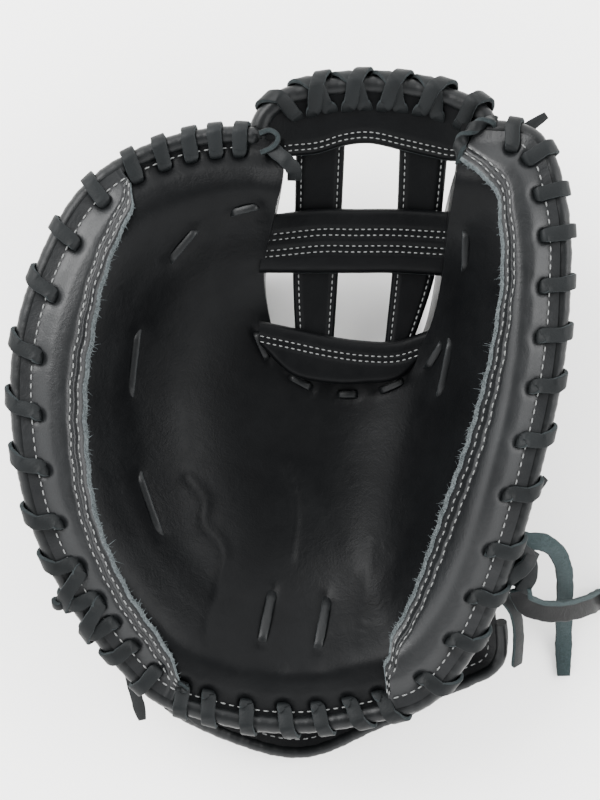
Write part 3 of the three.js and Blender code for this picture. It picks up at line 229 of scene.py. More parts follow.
# The hand's hollow: its two sides at each section, from the wrist inwards
FINGER_STALLS = (
    ((-0.5, -0.62), (0.5, -0.58)), ((-0.66, -0.42), (0.58, -0.42)),
    ((-0.72, -0.15), (0.52, -0.12)), ((-0.76, 0.14), (-0.18, 0.06)),
    ((-0.74, 0.38), (-0.24, 0.36)), ((-0.6, 0.56), (-0.32, 0.56)),
)
THUMB_STALL = (
    ((0.34, -0.56), (0.6, -0.52)), ((0.44, -0.26), (0.72, -0.26)), ((0.62, 0.02), (0.8, 0.0)),
    ((0.67, 0.24), (0.87, 0.22)), ((0.7, 0.48), (0.86, 0.46)),
)
STALL_ROUNDING = 0.35

# The back: where the wrist strap begins, and the opening between it and the finger back
STRAP_EDGE = ((-1.2, -0.66), (-0.45, -0.66), (0.05, -0.62), (0.5, -0.66), (1.2, -0.66))
STRAP_FAR_Y = -1.5
BACK_OPENING = {"x": 0.03, "y": -0.52, "half_width": 0.4, "half_length": 0.11}

# The web's pieces: the two ends of each section, in shares of the half sizes
POST_FINGER = (
    ((0.02, 0.86), (0.205, 0.86)), ((0.015, 0.62), (0.193, 0.62)), ((0.008, 0.42), (0.18, 0.42)),
    ((0.02, 0.18), (0.16, 0.16)),
)
POST_THUMB = (
    ((0.41, 0.86), (0.595, 0.86)), ((0.403, 0.62), (0.572, 0.62)), ((0.385, 0.42), (0.548, 0.42)),
    ((0.355, 0.16), (0.46, 0.19)),
)
CROSSBAR = (
    ((-0.08, 0.615), (-0.12, 0.43)), ((0.1, 0.635), (0.1, 0.43)), ((0.25, 0.635), (0.25, 0.43)),
    ((0.4, 0.635), (0.4, 0.43)), ((0.61, 0.625), (0.59, 0.42)),
)
BASE = (
    ((-0.12, 0.275), (-0.12, 0.2)), ((0.02, 0.25), (0.0, 0.1)), ((0.15, 0.225), (0.15, 0.07)),
    ((0.28, 0.21), (0.28, 0.07)), ((0.4, 0.21), (0.42, 0.09)), ((0.54, 0.25), (0.54, 0.2)),
)
# The top piece: x and the y of its lower edge
TOP_PIECE = (
    (-0.13, 0.79), (-0.09, 0.785), (-0.005, 0.8), (0.1, 0.81), (0.2, 0.835), (0.3, 0.842),
    (0.42, 0.82), (0.52, 0.8), (0.61, 0.785), (0.67, 0.8), (0.735, 0.82),
)
WEB_WRAPS = table(
    "over hole",
    (-0.085, -0.005), (0.02, 0.144), (0.17, 0.285), (0.315, 0.427), (0.46, 0.582),
)
WEB_WRAPS_OVER = table(
    "over hole",
    (0.145, 0.06), (0.29, 0.203), (0.435, 0.345), (0.585, 0.49), (0.7, 0.66),
)
WEB_ROLL = table(
    "x y",
    (-0.135, 0.82), (-0.12, 0.875), (-0.095, 0.925), (-0.03, 0.975), (0.05, 1.0), (0.2, 1.02),
    (0.36, 1.02), (0.52, 1.0), (0.65, 0.96), (0.71, 0.925), (0.735, 0.88), (0.745, 0.83),
)

# The step from the millimetres above to the frame's metres
knot_low, knot_high = (np.array(corner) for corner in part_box("wrist_knot"))
SHIFT = (knot_low + knot_high) / 2 - np.array(WRIST_KNOT) / 1000


def in_frame(points):
    return np.asarray(points, float) / 1000 + SHIFT


# Camera: straight above the mitt
CAMERA_HEIGHT = 1080
CAMERA_OVER = (4.25, 2.25)
LENS = 100
SENSOR = 36


def add_camera():
    data = bpy.data.cameras.new("camera")
    data.lens = LENS
    data.sensor_fit = "VERTICAL"
    data.sensor_height = SENSOR
    camera = bpy.data.objects.new("camera", data)
    camera.location = in_frame((*CAMERA_OVER, CAMERA_HEIGHT))
    bpy.context.scene.collection.objects.link(camera)
    bpy.context.scene.camera = camera


add_camera()


def smooth(rows, key, column, at, turn=0):
    """A column read smoothly between its rows. turn closes the table on itself."""
    keys, values = rows[key], rows[column]
    at = np.asarray(at, float)
    if turn:
        place = keys[0] + np.mod(at - keys[0], turn)
        keys = np.concatenate([[keys[-1] - turn], keys, keys[:2] + turn])
        values = np.concatenate([values[-1:], values, values[:2]])
    else:
        place = np.clip(at, keys[0], keys[-1])
        keys = np.concatenate([[keys[0] - 1], keys, [keys[-1] + 1]])
        values = np.concatenate([values[:1], values, values[-1:]])
    i = np.clip(np.searchsorted(keys, place, side="right") - 1, 1, len(keys) - 3)
    span = keys[i + 1] - keys[i]
    rise = values[i + 1] - values[i]
    t = (place - keys[i]) / span
    first = (values[i + 1] - values[i - 1]) / (keys[i + 1] - keys[i - 1])
    last = (values[i + 2] - values[i]) / (keys[i + 2] - keys[i])
    bow = (first * span - rise) * (1 - t) + (rise - last * span) * t
    return values[i] + rise * t + t * (1 - t) * bow


def curve(points, steps):
    """Points on a smooth curve through points, with steps on each stretch."""
    p = np.asarray(points, float)
    q = np.vstack([p[:1], p, p[-1:]])
    t = np.linspace(0, 1, steps, endpoint=False)[:, None]
    parts = []
    for i in range(len(p) - 1):
        a, b, c, d = q[i : i + 4]
        bend = (2 * a - 5 * b + 4 * c - d) * t**2 + (3 * b - a - 3 * c + d) * t**3
        parts.append(b + 0.5 * ((c - a) * t + bend))
    return np.vstack([*parts, p[-1:]])


def unit(vectors):
    return vectors / np.linalg.norm(vectors, axis=-1, keepdims=True)


def mix(a, b, share):
    return a + (b - a) * share


def waved(value, at, waves):
    """A value with waves on it. Each has its height, how often it comes and its start."""
    for high, often, start in waves:
        value = value + high * np.sin(at * often + start)
    return value


# Plan of the bowl
def ray(bearing):
    turn = np.radians(bearing)
    return np.stack([HALF_WIDTH * np.cos(turn), HALF_LENGTH * np.sin(turn)], axis=-1)


def spot(bearing, distance, z):
    plan = POCKET + unit(ray(bearing)) * np.asarray(distance)[..., None]
    return np.concatenate([plan, np.broadcast_to(z, plan.shape[:-1])[..., None]], axis=-1)


def polar(x, y):
    dx, dy = x - POCKET[0], y - POCKET[1]
    return np.degrees(np.arctan2(dy / HALF_LENGTH, dx / HALF_WIDTH)), np.hypot(dx, dy)


def ray_length(bearing):
    return np.linalg.norm(ray(bearing), axis=-1)


def rim_distance(bearing):
    return smooth(RIM, "bearing", "reach", bearing, FULL_TURN) * ray_length(bearing)


def rim_height(bearing):
    return RIM_HEIGHT * smooth(RIM, "bearing", "rise", bearing, FULL_TURN)


def rim_point(bearing):
    return spot(bearing, rim_distance(bearing), rim_height(bearing))


def mouth(bearing, column):
    return smooth(MOUTH, "bearing", column, np.mod(bearing, FULL_TURN))


LEAST_SQUARE = 0.7


def palm_edge(bearing):
    bearing = np.asarray(bearing, float)
    along = unit((rim_point(bearing + 1) - rim_point(bearing - 1))[..., :2])
    out = unit(ray(bearing))
    square = np.abs(out[..., 0] * along[..., 1] - out[..., 1] * along[..., 0])
    inset = (ROLL_DIAMETER / 2 + ROLL_CLEARANCE) / np.maximum(square, LEAST_SQUARE)
    return rim_distance(bearing) - inset


def back_edge(bearing):
    return palm_edge(bearing) + mouth(bearing, "out") * ray_length(bearing)


PALM_TOP = 1.6
PALM_UNDER = PALM_TOP - PALM_LEATHER
BACK_UNDER = PALM_UNDER - CLEARANCE - SHELL_LEATHER
FLOOR_SHARE = 0.5
BACK_FULLNESS = 0.75
MOST_SLOPE = 3


def palm_height(bearing, distance):
    share = np.clip(distance / palm_edge(bearing), 0, 1)
    lift = smooth(BOWL, "share", "lift", share)
    crest = smooth(BOWL, "share", "crest", share)
    return mix(POCKET_HEIGHT, rim_height(bearing) + PALM_TOP, lift) + CREST * crest


def edge_height(bearing):
    return mix(rim_height(bearing) + BACK_UNDER, LIP_HEIGHT, mouth(bearing, "sink"))


def back_height(bearing, distance):
    height = edge_height(bearing)
    reach = back_edge(bearing)
    border = reach - FLANGE_WIDTH
    border_height = np.maximum(0, height - FLANGE_DROP)
    floor = FLOOR_SHARE * reach
    climbed = np.clip((distance - floor) / (border - floor), 0, 1)
    bowl = border_height * (1 - (1 - climbed * climbed) ** BACK_FULLNESS)
    flange = mix(border_height, height, (distance - border) / FLANGE_WIDTH)
    return np.where(distance > border, flange, bowl)


def back_inside(bearing, distance, wall):
    climb = back_height(bearing, distance + 1) - back_height(bearing, distance - 1)
    slope = np.clip(climb / 2, 0, MOST_SLOPE)
    border = back_edge(bearing) - FLANGE_WIDTH
    stretch = np.where(distance > border, 1, np.hypot(1, slope))
    return back_height(bearing, distance) + wall * stretch


def palm_under(bearing, distance):
    border = palm_edge(bearing) - FLANGE_WIDTH
    nest = np.where(distance > border, CLEARANCE, NEST_CLEARANCE)
    room = nest + MOUTH_CLEARANCE * mouth(bearing, "sink")
    on_back = back_inside(bearing, distance, SHELL_LEATHER + room)
    laced = np.clip((distance - border) / FLANGE_WIDTH, 0, 1)
    free = palm_height(bearing, distance) - mix(PAD_OVER_HAND, PALM_LEATHER, laced)
    return mix(on_back, np.maximum(on_back, free), mouth(bearing, "open"))


def palm_at(x, y):
    return palm_height(*polar(x, y))


# The crescents lie on the palm
CRESCENT_CLEARANCE = 3 * CLEARANCE
CRESCENT_TOP = CRESCENT_CLEARANCE + PANEL_LEATHER


def covered(bearing):
    turn = np.mod(bearing, FULL_TURN)
    finger, thumb = FINGER_CRESCENT["bearing"], THUMB_CRESCENT["bearing"]
    return (
        ((turn >= finger[0]) & (turn <= finger[-1]))
        | (turn >= thumb[0])
        | (turn <= thumb[-1] - FULL_TURN)
    )


def cover_at(x, y):
    bearing, distance = polar(x, y)
    return palm_height(bearing, distance) + np.where(covered(bearing), CRESCENT_TOP, 0)


# The web's sheet
WEB_BASE_Y = 0.15
WEB_TOP_Y = 1
WEB_MIDDLE_X = 0.28
WEB_HALF_X = 0.38
WEB_CORNER = 0.22
FRONT_LAYER = POST_THICKNESS + 2 * CLEARANCE


def web_at(x, y):
    climb = np.clip((y / HALF_LENGTH - WEB_BASE_Y) / (WEB_TOP_Y - WEB_BASE_Y), 0, 1)
    aside = np.clip(np.abs(x / HALF_WIDTH - WEB_MIDDLE_X) / WEB_HALF_X, 0, 1.2)
    return WEB_LOW + WEB_RISE * (climb**1.5 + WEB_CORNER * climb * aside**4)


def web_front(x, y):
    return web_at(x, y) + FRONT_LAYER + WEB_FRONT_THICKNESS


def web_roll_y(x):
    return smooth(WEB_ROLL, "x", "y", x)


def web_roll_point(x):
    x = np.asarray(x, float)
    px, py = x * HALF_WIDTH, web_roll_y(x) * HALF_LENGTH
    z = web_at(px, py) + FRONT_LAYER + WEB_FRONT_THICKNESS / 2
    return np.stack([px, py, z], axis=-1)


def normals_on(surface, x, y):
    """Which way a surface given by its height faces."""
    step = 0.5
    across = (surface(x + step, y) - surface(x - step, y)) / (2 * step)
    along = (surface(x, y + step) - surface(x, y - step)) / (2 * step)
    return unit(np.stack([-across, -along, np.ones_like(across)], axis=-1))


# Materials
def nodes_of(name):
    material = bpy.data.materials.new(name)
    material.use_nodes = True
    tree = material.node_tree
    return material, tree, tree.nodes["Principled BSDF"]


def add_node(tree, kind, inputs=(), **settings):
    node = tree.nodes.new(kind)
    for key, value in settings.items():
        setattr(node, key, value)
    for key, value in dict(inputs).items():
        if isinstance(value, bpy.types.NodeSocket):
            tree.links.new(value, node.inputs[key])
        else:
            node.inputs[key].default_value = value
    return node


def noise(tree, place, scale, detail=4, rough=0.6, distortion=0):
    names = ("Vector", "Scale", "Detail", "Roughness", "Distortion")
    inputs = zip(names, (place, scale, detail, rough, distortion))
    return add_node(tree, "ShaderNodeTexNoise", inputs).outputs["Fac"]


def ramp(tree, value, low, high, to_low, to_high):
    names = ("Value", "From Min", "From Max", "To Min", "To Max")
    inputs = zip(names, (value, low, high, to_low, to_high))
    return add_node(tree, "ShaderNodeMapRange", inputs).outputs["Result"]


def blend(tree, share, first, second):
    node = add_node(tree, "ShaderNodeMix", data_type="RGBA")
    tree.links.new(share, node.inputs[0])
    node.inputs[6].default_value = (*first, 1)
    node.inputs[7].default_value = (*second, 1)
    return node.outputs[2]


def bumps(tree, layers):
    """One bump on another: each layer is a height, its strength and its depth in metres."""
    normal = None
    for height, strength, depth in layers:
        inputs = {"Height": height, "Strength": strength, "Distance": depth}
        if normal is not None:
            inputs["Normal"] = normal
        normal = add_node(tree, "ShaderNodeBump", inputs).outputs["Normal"]
    return normal


def leather(name, dark, light, rough, shine, grain=1.0, wrinkle=1.0):
    """Smooth black leather: pores, a pebbled grain, soft wrinkles and wear."""
    material, tree, shader = nodes_of(name)
    place = add_node(tree, "ShaderNodeTexCoord").outputs["Object"]
    wear = noise(tree, place, 26, 5, 0.62)
    patches = noise(tree, place, 90, 6, 0.7, 0.4)
    pores = noise(tree, place, 2600, 3, 0.55)
    cells = add_node(
        tree,
        "ShaderNodeTexVoronoi",
        {"Vector": place, "Scale": 620, "Randomness": 1},
        feature="DISTANCE_TO_EDGE",
    ).outputs["Distance"]
    pebble = ramp(tree, cells, 0, 0.22, 0, 1)
    folds = ramp(tree, noise(tree, place, 130, 5, 0.6, 1.6), 0.38, 0.62, 0, 1)
    shade = ramp(tree, wear, 0.35, 0.7, 0, 1)
    tree.links.new(blend(tree, shade, dark, light), shader.inputs["Base Color"])
    dullness = ramp(tree, patches, 0.3, 0.75, rough - 0.05, rough + 0.1)
    tree.links.new(dullness, shader.inputs["Roughness"])
    layers = [
        (folds, 0.07 * wrinkle, 0.001),
        (pebble, 0.16 * grain, 0.00015),
        (pores, 0.14 * grain, 0.0001),
    ]
    tree.links.new(bumps(tree, layers), shader.inputs["Normal"])
    shader.inputs["Specular IOR Level"].default_value = shine
    return material


def suede(name, dark, light):
    """The rough side or a raw cut edge: short fibres."""
    material, tree, shader = nodes_of(name)
    place = add_node(tree, "ShaderNodeTexCoord").outputs["Object"]
    nap = noise(tree, place, 700, 6, 0.75, 1.2)
    fibres = noise(tree, place, 3600, 4, 0.7, 0.8)
    shade = ramp(tree, nap, 0.32, 0.7, 0, 1)
    tree.links.new(blend(tree, shade, dark, light), shader.inputs["Base Color"])
    tree.links.new(bumps(tree, [(nap, 0.5, 0.0006), (fibres, 0.6, 0.0003)]), shader.inputs["Normal"])
    shader.inputs["Roughness"].default_value = 0.92
    shader.inputs["Specular IOR Level"].default_value = 0.08
    shader.inputs["Sheen Weight"].default_value = 0.02
    shader.inputs["Sheen Roughness"].default_value = 0.6
    return material


def thread(name, color):
    """Waxed thread."""
    material, tree, shader = nodes_of(name)
    place = add_node(tree, "ShaderNodeTexCoord").outputs["Object"]
    twist = noise(tree, place, 2400, 3, 0.6)
    dull = tuple(0.55 * part for part in color)
    shade = ramp(tree, twist, 0.3, 0.7, 0, 1)
    tree.links.new(blend(tree, shade, dull, color), shader.inputs["Base Color"])
    tree.links.new(bumps(tree, [(twist, 0.5, 0.0002)]), shader.inputs["Normal"])
    shader.inputs["Roughness"].default_value = 0.6
    return material


PALM_LOOK = leather(
    "palm_leather", (0.0016, 0.0017, 0.0019), (0.0028, 0.003, 0.0032), 0.36, 0.055, 0.8
)
PANEL_LOOK = leather(
    "panel_leather", (0.0027, 0.003, 0.0033), (0.0045, 0.005, 0.0054), 0.36, 0.22, 0.7
)
ROLL_LOOK = leather(
    "roll_leather", (0.0022, 0.0025, 0.0027), (0.0038, 0.0043, 0.0046), 0.38, 0.15, 0.7
)
WEB_LOOK = leather(
    "web_leather", (0.0013, 0.0014, 0.0016), (0.0022, 0.0024, 0.0026), 0.4, 0.055, 0.7
)
BACK_LOOK = leather("back_leather", (0.0018, 0.0019, 0.0021), (0.003, 0.0032, 0.0035), 0.42, 0.1, 1)
LACE_LOOK = leather(
    "lace_leather", (0.0026, 0.0031, 0.0033), (0.0052, 0.0061, 0.0065), 0.5, 0.1, 1.3, 0.5
)
EDGE_LOOK = suede("raw_edge", (0.005, 0.0066, 0.007), (0.017, 0.0218, 0.023))
RAW_LOOK = suede("cut_edge", (0.02, 0.0245, 0.0255), (0.088, 0.1, 0.103))
FLESH_LOOK = suede("lace_suede", (0.009, 0.0142, 0.0148), (0.027, 0.038, 0.0395))
THREAD_LOOK = thread("thread", (0.115, 0.118, 0.115))


# Mesh pieces
def make(name, points, faces, looks, slot, replaces=(), marks=None, sharp=45, closed=True):
    """A piece of the mitt from points in millimetres."""
    mesh = bpy.data.meshes.new(name)
    mesh.from_pydata(in_frame(points).tolist(), [], [list(map(int, face)) for face in faces])
    for look in looks:
        mesh.materials.append(look)
    if marks is not None:
        mesh.polygons.foreach_set("material_index", np.asarray(marks, dtype=np.int32))
    if closed:
        turned = bmesh.new()
        turned.from_mesh(mesh)
        bmesh.ops.recalc_face_normals(turned, faces=turned.faces)
        turned.to_mesh(mesh)
        turned.free()
    finish_shading(mesh, sharp)
    piece = bpy.data.objects.new(name, mesh)
    bpy.context.scene.collection.objects.link(piece)
    if slot:
        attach(piece, "root")
        if replaces:
            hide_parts(*replaces)
    return piece


def finish_shading(mesh, sharp):
    mesh.shade_smooth()
    mesh.set_sharp_from_angle(angle=math.radians(sharp))
    mesh.update()


def quads(rows, columns, first=0, around=False):
    """Faces of a grid of points, closed round its columns if around is true."""
    last = columns if around else columns - 1
    r, c = np.meshgrid(np.arange(rows - 1), np.arange(last), indexing="ij")
    n = (c + 1) % columns
    at, below = r * columns, (r + 1) * columns
    return first + np.stack([at + c, below + c, below + n, at + n], -1).reshape(-1, 4)


def slab(top, bottom):
    """Points and faces of a closed solid between two grids, and which faces are walls."""
    rows, columns = top.shape[:2]
    points = np.concatenate([top.reshape(-1, 3), bottom.reshape(-1, 3)])
    under = rows * columns
    faces = [quads(rows, columns), quads(rows, columns, under)[:, ::-1]]
    grid = np.arange(under).reshape(rows, columns)
    walls = []
    for line in (grid[0], grid[:, -1], grid[-1, ::-1], grid[::-1, 0]):
        walls.append(np.stack([line[:-1], line[1:], line[1:] + under, line[:-1] + under], -1))
    kinds = [np.full(len(part), 0) for part in faces]
    kinds += [np.full(len(part), side + 1) for side, part in enumerate(walls)]
    return points, np.concatenate([*faces, *walls]), np.concatenate(kinds)


def bowl(edge, shares, bearings, top, bottom):
    """Points and faces of a bowl-shaped solid in rings round the pocket."""
    turn = np.arange(bearings) * FULL_TURN / bearings
    ring_edge = edge(turn)
    b, share = np.meshgrid(turn, shares)
    distance = share * ring_edge
    ring = np.arange(bearings)
    under = 1 + len(shares) * bearings
    points, faces = [], []
    for first, way, height in ((0, 1, top), (under, -1, bottom)):
        middle = float(height(np.array([0.0]), np.array([0.0]))[0])
        points.append([[*POCKET, middle]])
        points.append(spot(b, distance, height(b, distance)).reshape(-1, 3))
        fan = first + np.stack([0 * ring, 1 + ring, 1 + (ring + 1) % bearings], -1)
        grid = quads(len(shares), bearings, first + 1, around=True)
        faces += [*fan[:, ::way], *grid[:, ::way]]
    last = under - bearings + ring
    beside = np.roll(last, -1)
    faces += list(np.stack([last, beside, beside + under, last + under], -1))
    return np.concatenate(points), faces


def settle(piece):
    """The mesh with its modifiers applied."""
    bpy.context.view_layer.update()
    depsgraph = bpy.context.evaluated_depsgraph_get()
    mesh = bpy.data.meshes.new_from_object(piece.evaluated_get(depsgraph))
    piece.modifiers.clear()
    piece.data = mesh


def cut(piece, cutters, operation="DIFFERENCE", sharp=45):
    for cutter in cutters:
        modifier = piece.modifiers.new("cut", "BOOLEAN")
        modifier.operation = operation
        modifier.solver = "EXACT"
        modifier.object = cutter
    settle(piece)
    finish_shading(piece.data, sharp)


CUT_LOW = -20
CUT_HIGH = 180


def prism(name, outline, low=CUT_LOW, high=CUT_HIGH):
    """An upright cutter, which is no piece of the mitt."""
    count = len(outline)
    plan = np.asarray(outline, float)
    points = [np.column_stack([plan, np.full(count, z)]) for z in (low, high)]
    ring = np.arange(count)
    walls = np.stack([ring, (ring + 1) % count, (ring + 1) % count + count, ring + count], -1)
    faces = [*walls, ring[::-1], ring + count]
    return make(name, np.concatenate(points), faces, (), None)


def shares_to_mm(points):
    return np.asarray(points, float) * (HALF_WIDTH, HALF_LENGTH)


def notch_outline():
    outline = curve(shares_to_mm(np.column_stack([NOTCH["x"], NOTCH["y"]])), 8)
    ends = shares_to_mm([(NOTCH["x"][-1], NOTCH_MOUTH_Y), (NOTCH["x"][0], NOTCH_MOUTH_Y)])
    return np.concatenate([outline, ends])


def strap_outline(margin):
    edge = shares_to_mm(STRAP_EDGE) + (0, margin)
    far = shares_to_mm([(STRAP_EDGE[-1][0], STRAP_FAR_Y), (STRAP_EDGE[0][0], STRAP_FAR_Y)])
    return np.concatenate([curve(edge, 6), far])


def opening_outline():
    turn = np.linspace(0, 2 * math.pi, 64, endpoint=False)
    x = BACK_OPENING["x"] + BACK_OPENING["half_width"] * np.cos(turn)
    y = BACK_OPENING["y"] + BACK_OPENING["half_length"] * np.sin(turn)
    return shares_to_mm(np.column_stack([x, y]))


def stall(name, sections):
    """The hollow for the fingers or the thumb, as a cutter."""
    left = curve(shares_to_mm([row[0] for row in sections]), 4)
    right = curve(shares_to_mm([row[1] for row in sections]), 4)
    across = np.linspace(-1, 1, 13)
    plan = mix(left[:, None], right[:, None], ((across + 1) / 2)[None, :, None])
    bearing, distance = polar(plan[..., 0], plan[..., 1])
    base = back_inside(bearing, distance, SHELL_LEATHER)
    depth = np.minimum(palm_height(bearing, distance) - PAD_OVER_HAND - base, HAND_DEPTH)
    roof = base + depth * (1 - STALL_ROUNDING * across**4)
    low = np.full(roof.shape, CUT_LOW)
    points, faces, _ = slab(np.dstack([plan, roof]), np.dstack([plan, low]))
    return make(name, points, faces, (), None)


def discard(*cutters):
    for cutter in cutters:
        bpy.data.objects.remove(cutter)


# Relief on the leather: creases in the palm, and dents where laces go in
CREASES = (
    (0.9, 2.6, ((-0.39, -0.24), (-0.33, -0.31), (-0.33, -0.39), (-0.27, -0.45), (-0.25, -0.5))),
    (0.8, 2.4, ((-0.25, -0.5), (-0.265, -0.56), (-0.28, -0.62), (-0.31, -0.69), (-0.31, -0.76))),
    (0.35, 2.2, ((0.31, -0.43), (0.3, -0.52), (0.285, -0.61), (0.26, -0.76))),
    (0.3, 1.8, ((0.4, -0.49), (0.39, -0.56), (0.385, -0.63))),
    (0.5, 2.2, ((-0.02, -0.2), (0.02, -0.35), (0.0, -0.5))),
)


def creased(x, y):
    """How far the palm's creases lie below it."""
    depth = np.zeros_like(x)
    for deep, width, points in CREASES:
        line = curve(shares_to_mm(points), 5)
        nearest = np.full(x.shape, 1e9)
        for px, py in line:
            nearest = np.minimum(nearest, np.hypot(x - px, y - py))
        depth = np.maximum(depth, deep * np.exp(-((nearest / width) ** 2)))
    return depth


# Soft swellings of the heel's padding: place in shares, height and width
SWELLINGS = (
    (-0.22, -0.86, 1.3, 8), (0.02, -0.88, 0.9, 7), (0.14, -0.88, 1.0, 7), (0.24, -0.62, 0.8, 9),
)


def swollen(x, y):
    """How far the heel's padding stands out of the palm."""
    height = np.zeros_like(x)
    for px, py, tall, width in SWELLINGS:
        away = (x - px * HALF_WIDTH) ** 2 + (y - py * HALF_LENGTH) ** 2
        height = height + tall * np.exp(-away / width**2)
    return height


SLIT_WIDTH = 3.1
HEEL_SLIT_WIDTH = 4.2
# Depths and widths of the dents: at the rim's holes, at the palm's and along its laces
HOLE_DENTS = ((2.2, 3.1), (1.1, 2.6))
LACE_DENT = (0.9, 2.6)
HOLE_OUT = 0.6


def hole_places():
    """Where the rim's laces go in, and where those on the palm do."""
    holes = np.concatenate([rows["hole"] for rows in ALL_WRAPS])
    middle, _, out, _ = frames_on(rim_point, holes, 1)
    rim = (middle - out * (WRAP_HOLE_INSET - HOLE_OUT))[:, :2]
    palm = shares_to_mm([end for ends in PALM_LACES.values() for end in ends])
    return rim, palm


def dented(x, y):
    """How far the leather is drawn in at each lace's hole."""
    depth = np.zeros_like(x)
    for places, (deep, width) in zip(hole_places(), HOLE_DENTS):
        for px, py in places:
            depth = np.maximum(depth, deep * np.exp(-(((x - px) ** 2 + (y - py) ** 2) / width**2)))
    deep, width = LACE_DENT
    for ends in PALM_LACES.values():
        start, end = shares_to_mm(ends)
        run = end - start
        share = ((x - start[0]) * run[0] + (y - start[1]) * run[1]) / (run @ run)
        near = start + np.clip(share, 0, 1)[..., None] * run
        away = (x - near[..., 0]) ** 2 + (y - near[..., 1]) ** 2
        depth = np.maximum(depth, deep * np.exp(-away / width**2))
    return depth


def palm_top(bearing, distance):
    x, y = np.moveaxis(spot(bearing, distance, 0)[..., :2], -1, 0)
    return palm_height(bearing, distance) + swollen(x, y) - creased(x, y) - dented(x, y)


# Rings of the palm and the back, as shares of the way out. The palm's last two lie under the roll
PALM_RINGS = np.concatenate([np.linspace(0.02, 0.7, 44), np.linspace(0.71, 1, 36), [1.02, 1.035]])
PALM_BEARINGS = 440
BACK_RINGS = np.concatenate([np.linspace(0.04, 0.5, 12), np.linspace(0.52, 1, 40)])
BACK_BEARINGS = 288
BACK_PANELS = ("back_finger_outer", "back_finger_inner", "back_thumb")


def add_palm():
    points, faces = bowl(palm_edge, PALM_RINGS, PALM_BEARINGS, palm_top, palm_under)
    palm = make("palm", points, faces, (PALM_LOOK,), "palm_leather", ("palm_pad",))
    cutters = [
        prism("cut_notch", notch_outline()),
        stall("cut_fingers", FINGER_STALLS),
        stall("cut_thumb", THUMB_STALL),
    ]
    cut(palm, cutters, sharp=38)
    discard(*cutters)


def add_back():
    def inside(bearing, distance):
        return back_inside(bearing, distance, SHELL_LEATHER)

    points, faces = bowl(back_edge, BACK_RINGS, BACK_BEARINGS, inside, back_height)
    shell = make("back", points, faces, (BACK_LOOK,), "back_leather", BACK_PANELS)
    strap = make("strap", points, faces, (BACK_LOOK,), "back_leather", ("wrist_strap",))
    notch = prism("cut_notch", notch_outline())
    beyond = prism("cut_strap", strap_outline(CLEARANCE))
    opening = prism("cut_opening", opening_outline(), CUT_LOW, 3 * SHELL_LEATHER)
    within = prism("keep_strap", strap_outline(0))
    cut(shell, [notch, beyond, opening])
    cut(strap, [within], "INTERSECT")
    discard(notch, beyond, opening, within)


# Crescents on the rim. Columns run across them from the raw edge, in millimetres
STITCH_ROWS = (3.9, 7.1)
GROOVE_DEPTH = 0.5
GROOVE_WIDTH = 0.9
RIDGE_HEIGHT = 0.35
EDGE_DROP = 0.9
EDGE_ROUNDING = 0.8
FINE_COLUMNS = np.concatenate([[0, 0.35, 0.75, 1.2, 1.6, 2.2], np.linspace(2.8, 8.4, 19)])
RAW_FACES = 4
COARSE_COLUMNS = np.linspace(0, 1, 19)[1:]
FULL_WIDTH = 12
UNDER_ROLL = 4.4
UNDERLAP = 0.2
CRESCENT_STEP = 0.4
EDGE_WAVES = ((0.0022, 0.9, 0), (0.001, 4.7, 1), (0.0007, 23.1, 0), (0.0006, 37.7, 2))


def crescent_edge(rows, bearing):
    """Where the raw edge runs, cut by hand and so a little uneven."""
    return waved(smooth(rows, "bearing", "inner", bearing), bearing, EDGE_WAVES)


def crescent_top(x, y, rows):
    bearing, distance = polar(x, y)
    turn = np.where(bearing < rows["bearing"][0], bearing + FULL_TURN, bearing)
    inside = distance - crescent_edge(rows, turn) * palm_edge(turn)
    height = palm_height(bearing, distance) + CRESCENT_TOP - dented(x, y)
    for row in STITCH_ROWS:
        height = height - GROOVE_DEPTH * np.exp(-(((inside - row) / GROOVE_WIDTH) ** 2))
    ridge = sum(STITCH_ROWS) / 2
    height = height + RIDGE_HEIGHT * np.exp(-(((inside - ridge) / GROOVE_WIDTH) ** 2))
    return height - EDGE_DROP * np.exp(-np.maximum(inside, 0) / EDGE_ROUNDING)


def add_crescent(name, rows, node):
    bearing = np.arange(rows["bearing"][0], rows["bearing"][-1], CRESCENT_STEP)
    edge = palm_edge(bearing)
    inner = crescent_edge(rows, bearing) * edge
    width = (edge - inner)[:, None]
    squeeze = np.minimum(1, width / FULL_WIDTH)
    fine = FINE_COLUMNS * squeeze
    coarse = fine[:, -1:] + (width - fine[:, -1:]) * COARSE_COLUMNS
    distance = inner[:, None] + np.hstack([fine, coarse, width + UNDER_ROLL])
    top = spot(np.broadcast_to(bearing[:, None], distance.shape), distance, 0)
    bottom = top.copy()
    top[..., 2] = crescent_top(top[..., 0], top[..., 1], rows)
    bottom[..., 2] = palm_at(bottom[..., 0], bottom[..., 1]) - UNDERLAP
    points, faces, kinds = slab(top, bottom)
    columns = distance.shape[1] - 1
    raw = (kinds > 0) & (kinds != 2)
    raw[: (len(bearing) - 1) * columns] |= np.tile(np.arange(columns) < RAW_FACES, len(bearing) - 1)
    make(name, points, faces, (PANEL_LOOK, RAW_LOOK), "panel_leather", (node,), raw)
    for number, row in enumerate(STITCH_ROWS):
        line = spot(bearing, inner + row * squeeze[:, 0], 0)
        add_stitches(f"{name}_stitches_{number + 1}", line, lambda x, y: crescent_top(x, y, rows))
    add_fibres(f"{name}_fibres", bearing, inner, rows)


FIBRES_PER_DEGREE = 7
FIBRE_ROOTS = 1.6
FIBRE_SIDES = 3
FIBRE_LENGTH = (2.2, 0.42)
FIBRE_LEAN = 0.7
FIBRE_RISE = 0.7
FIBRE_FALL = 0.6
FIBRE_BOW = 0.3
FIBRE_SINK = 0.15
FIBRE_GAP = 0.3
FIBRE_THICKNESS = (0.1, 0.2)


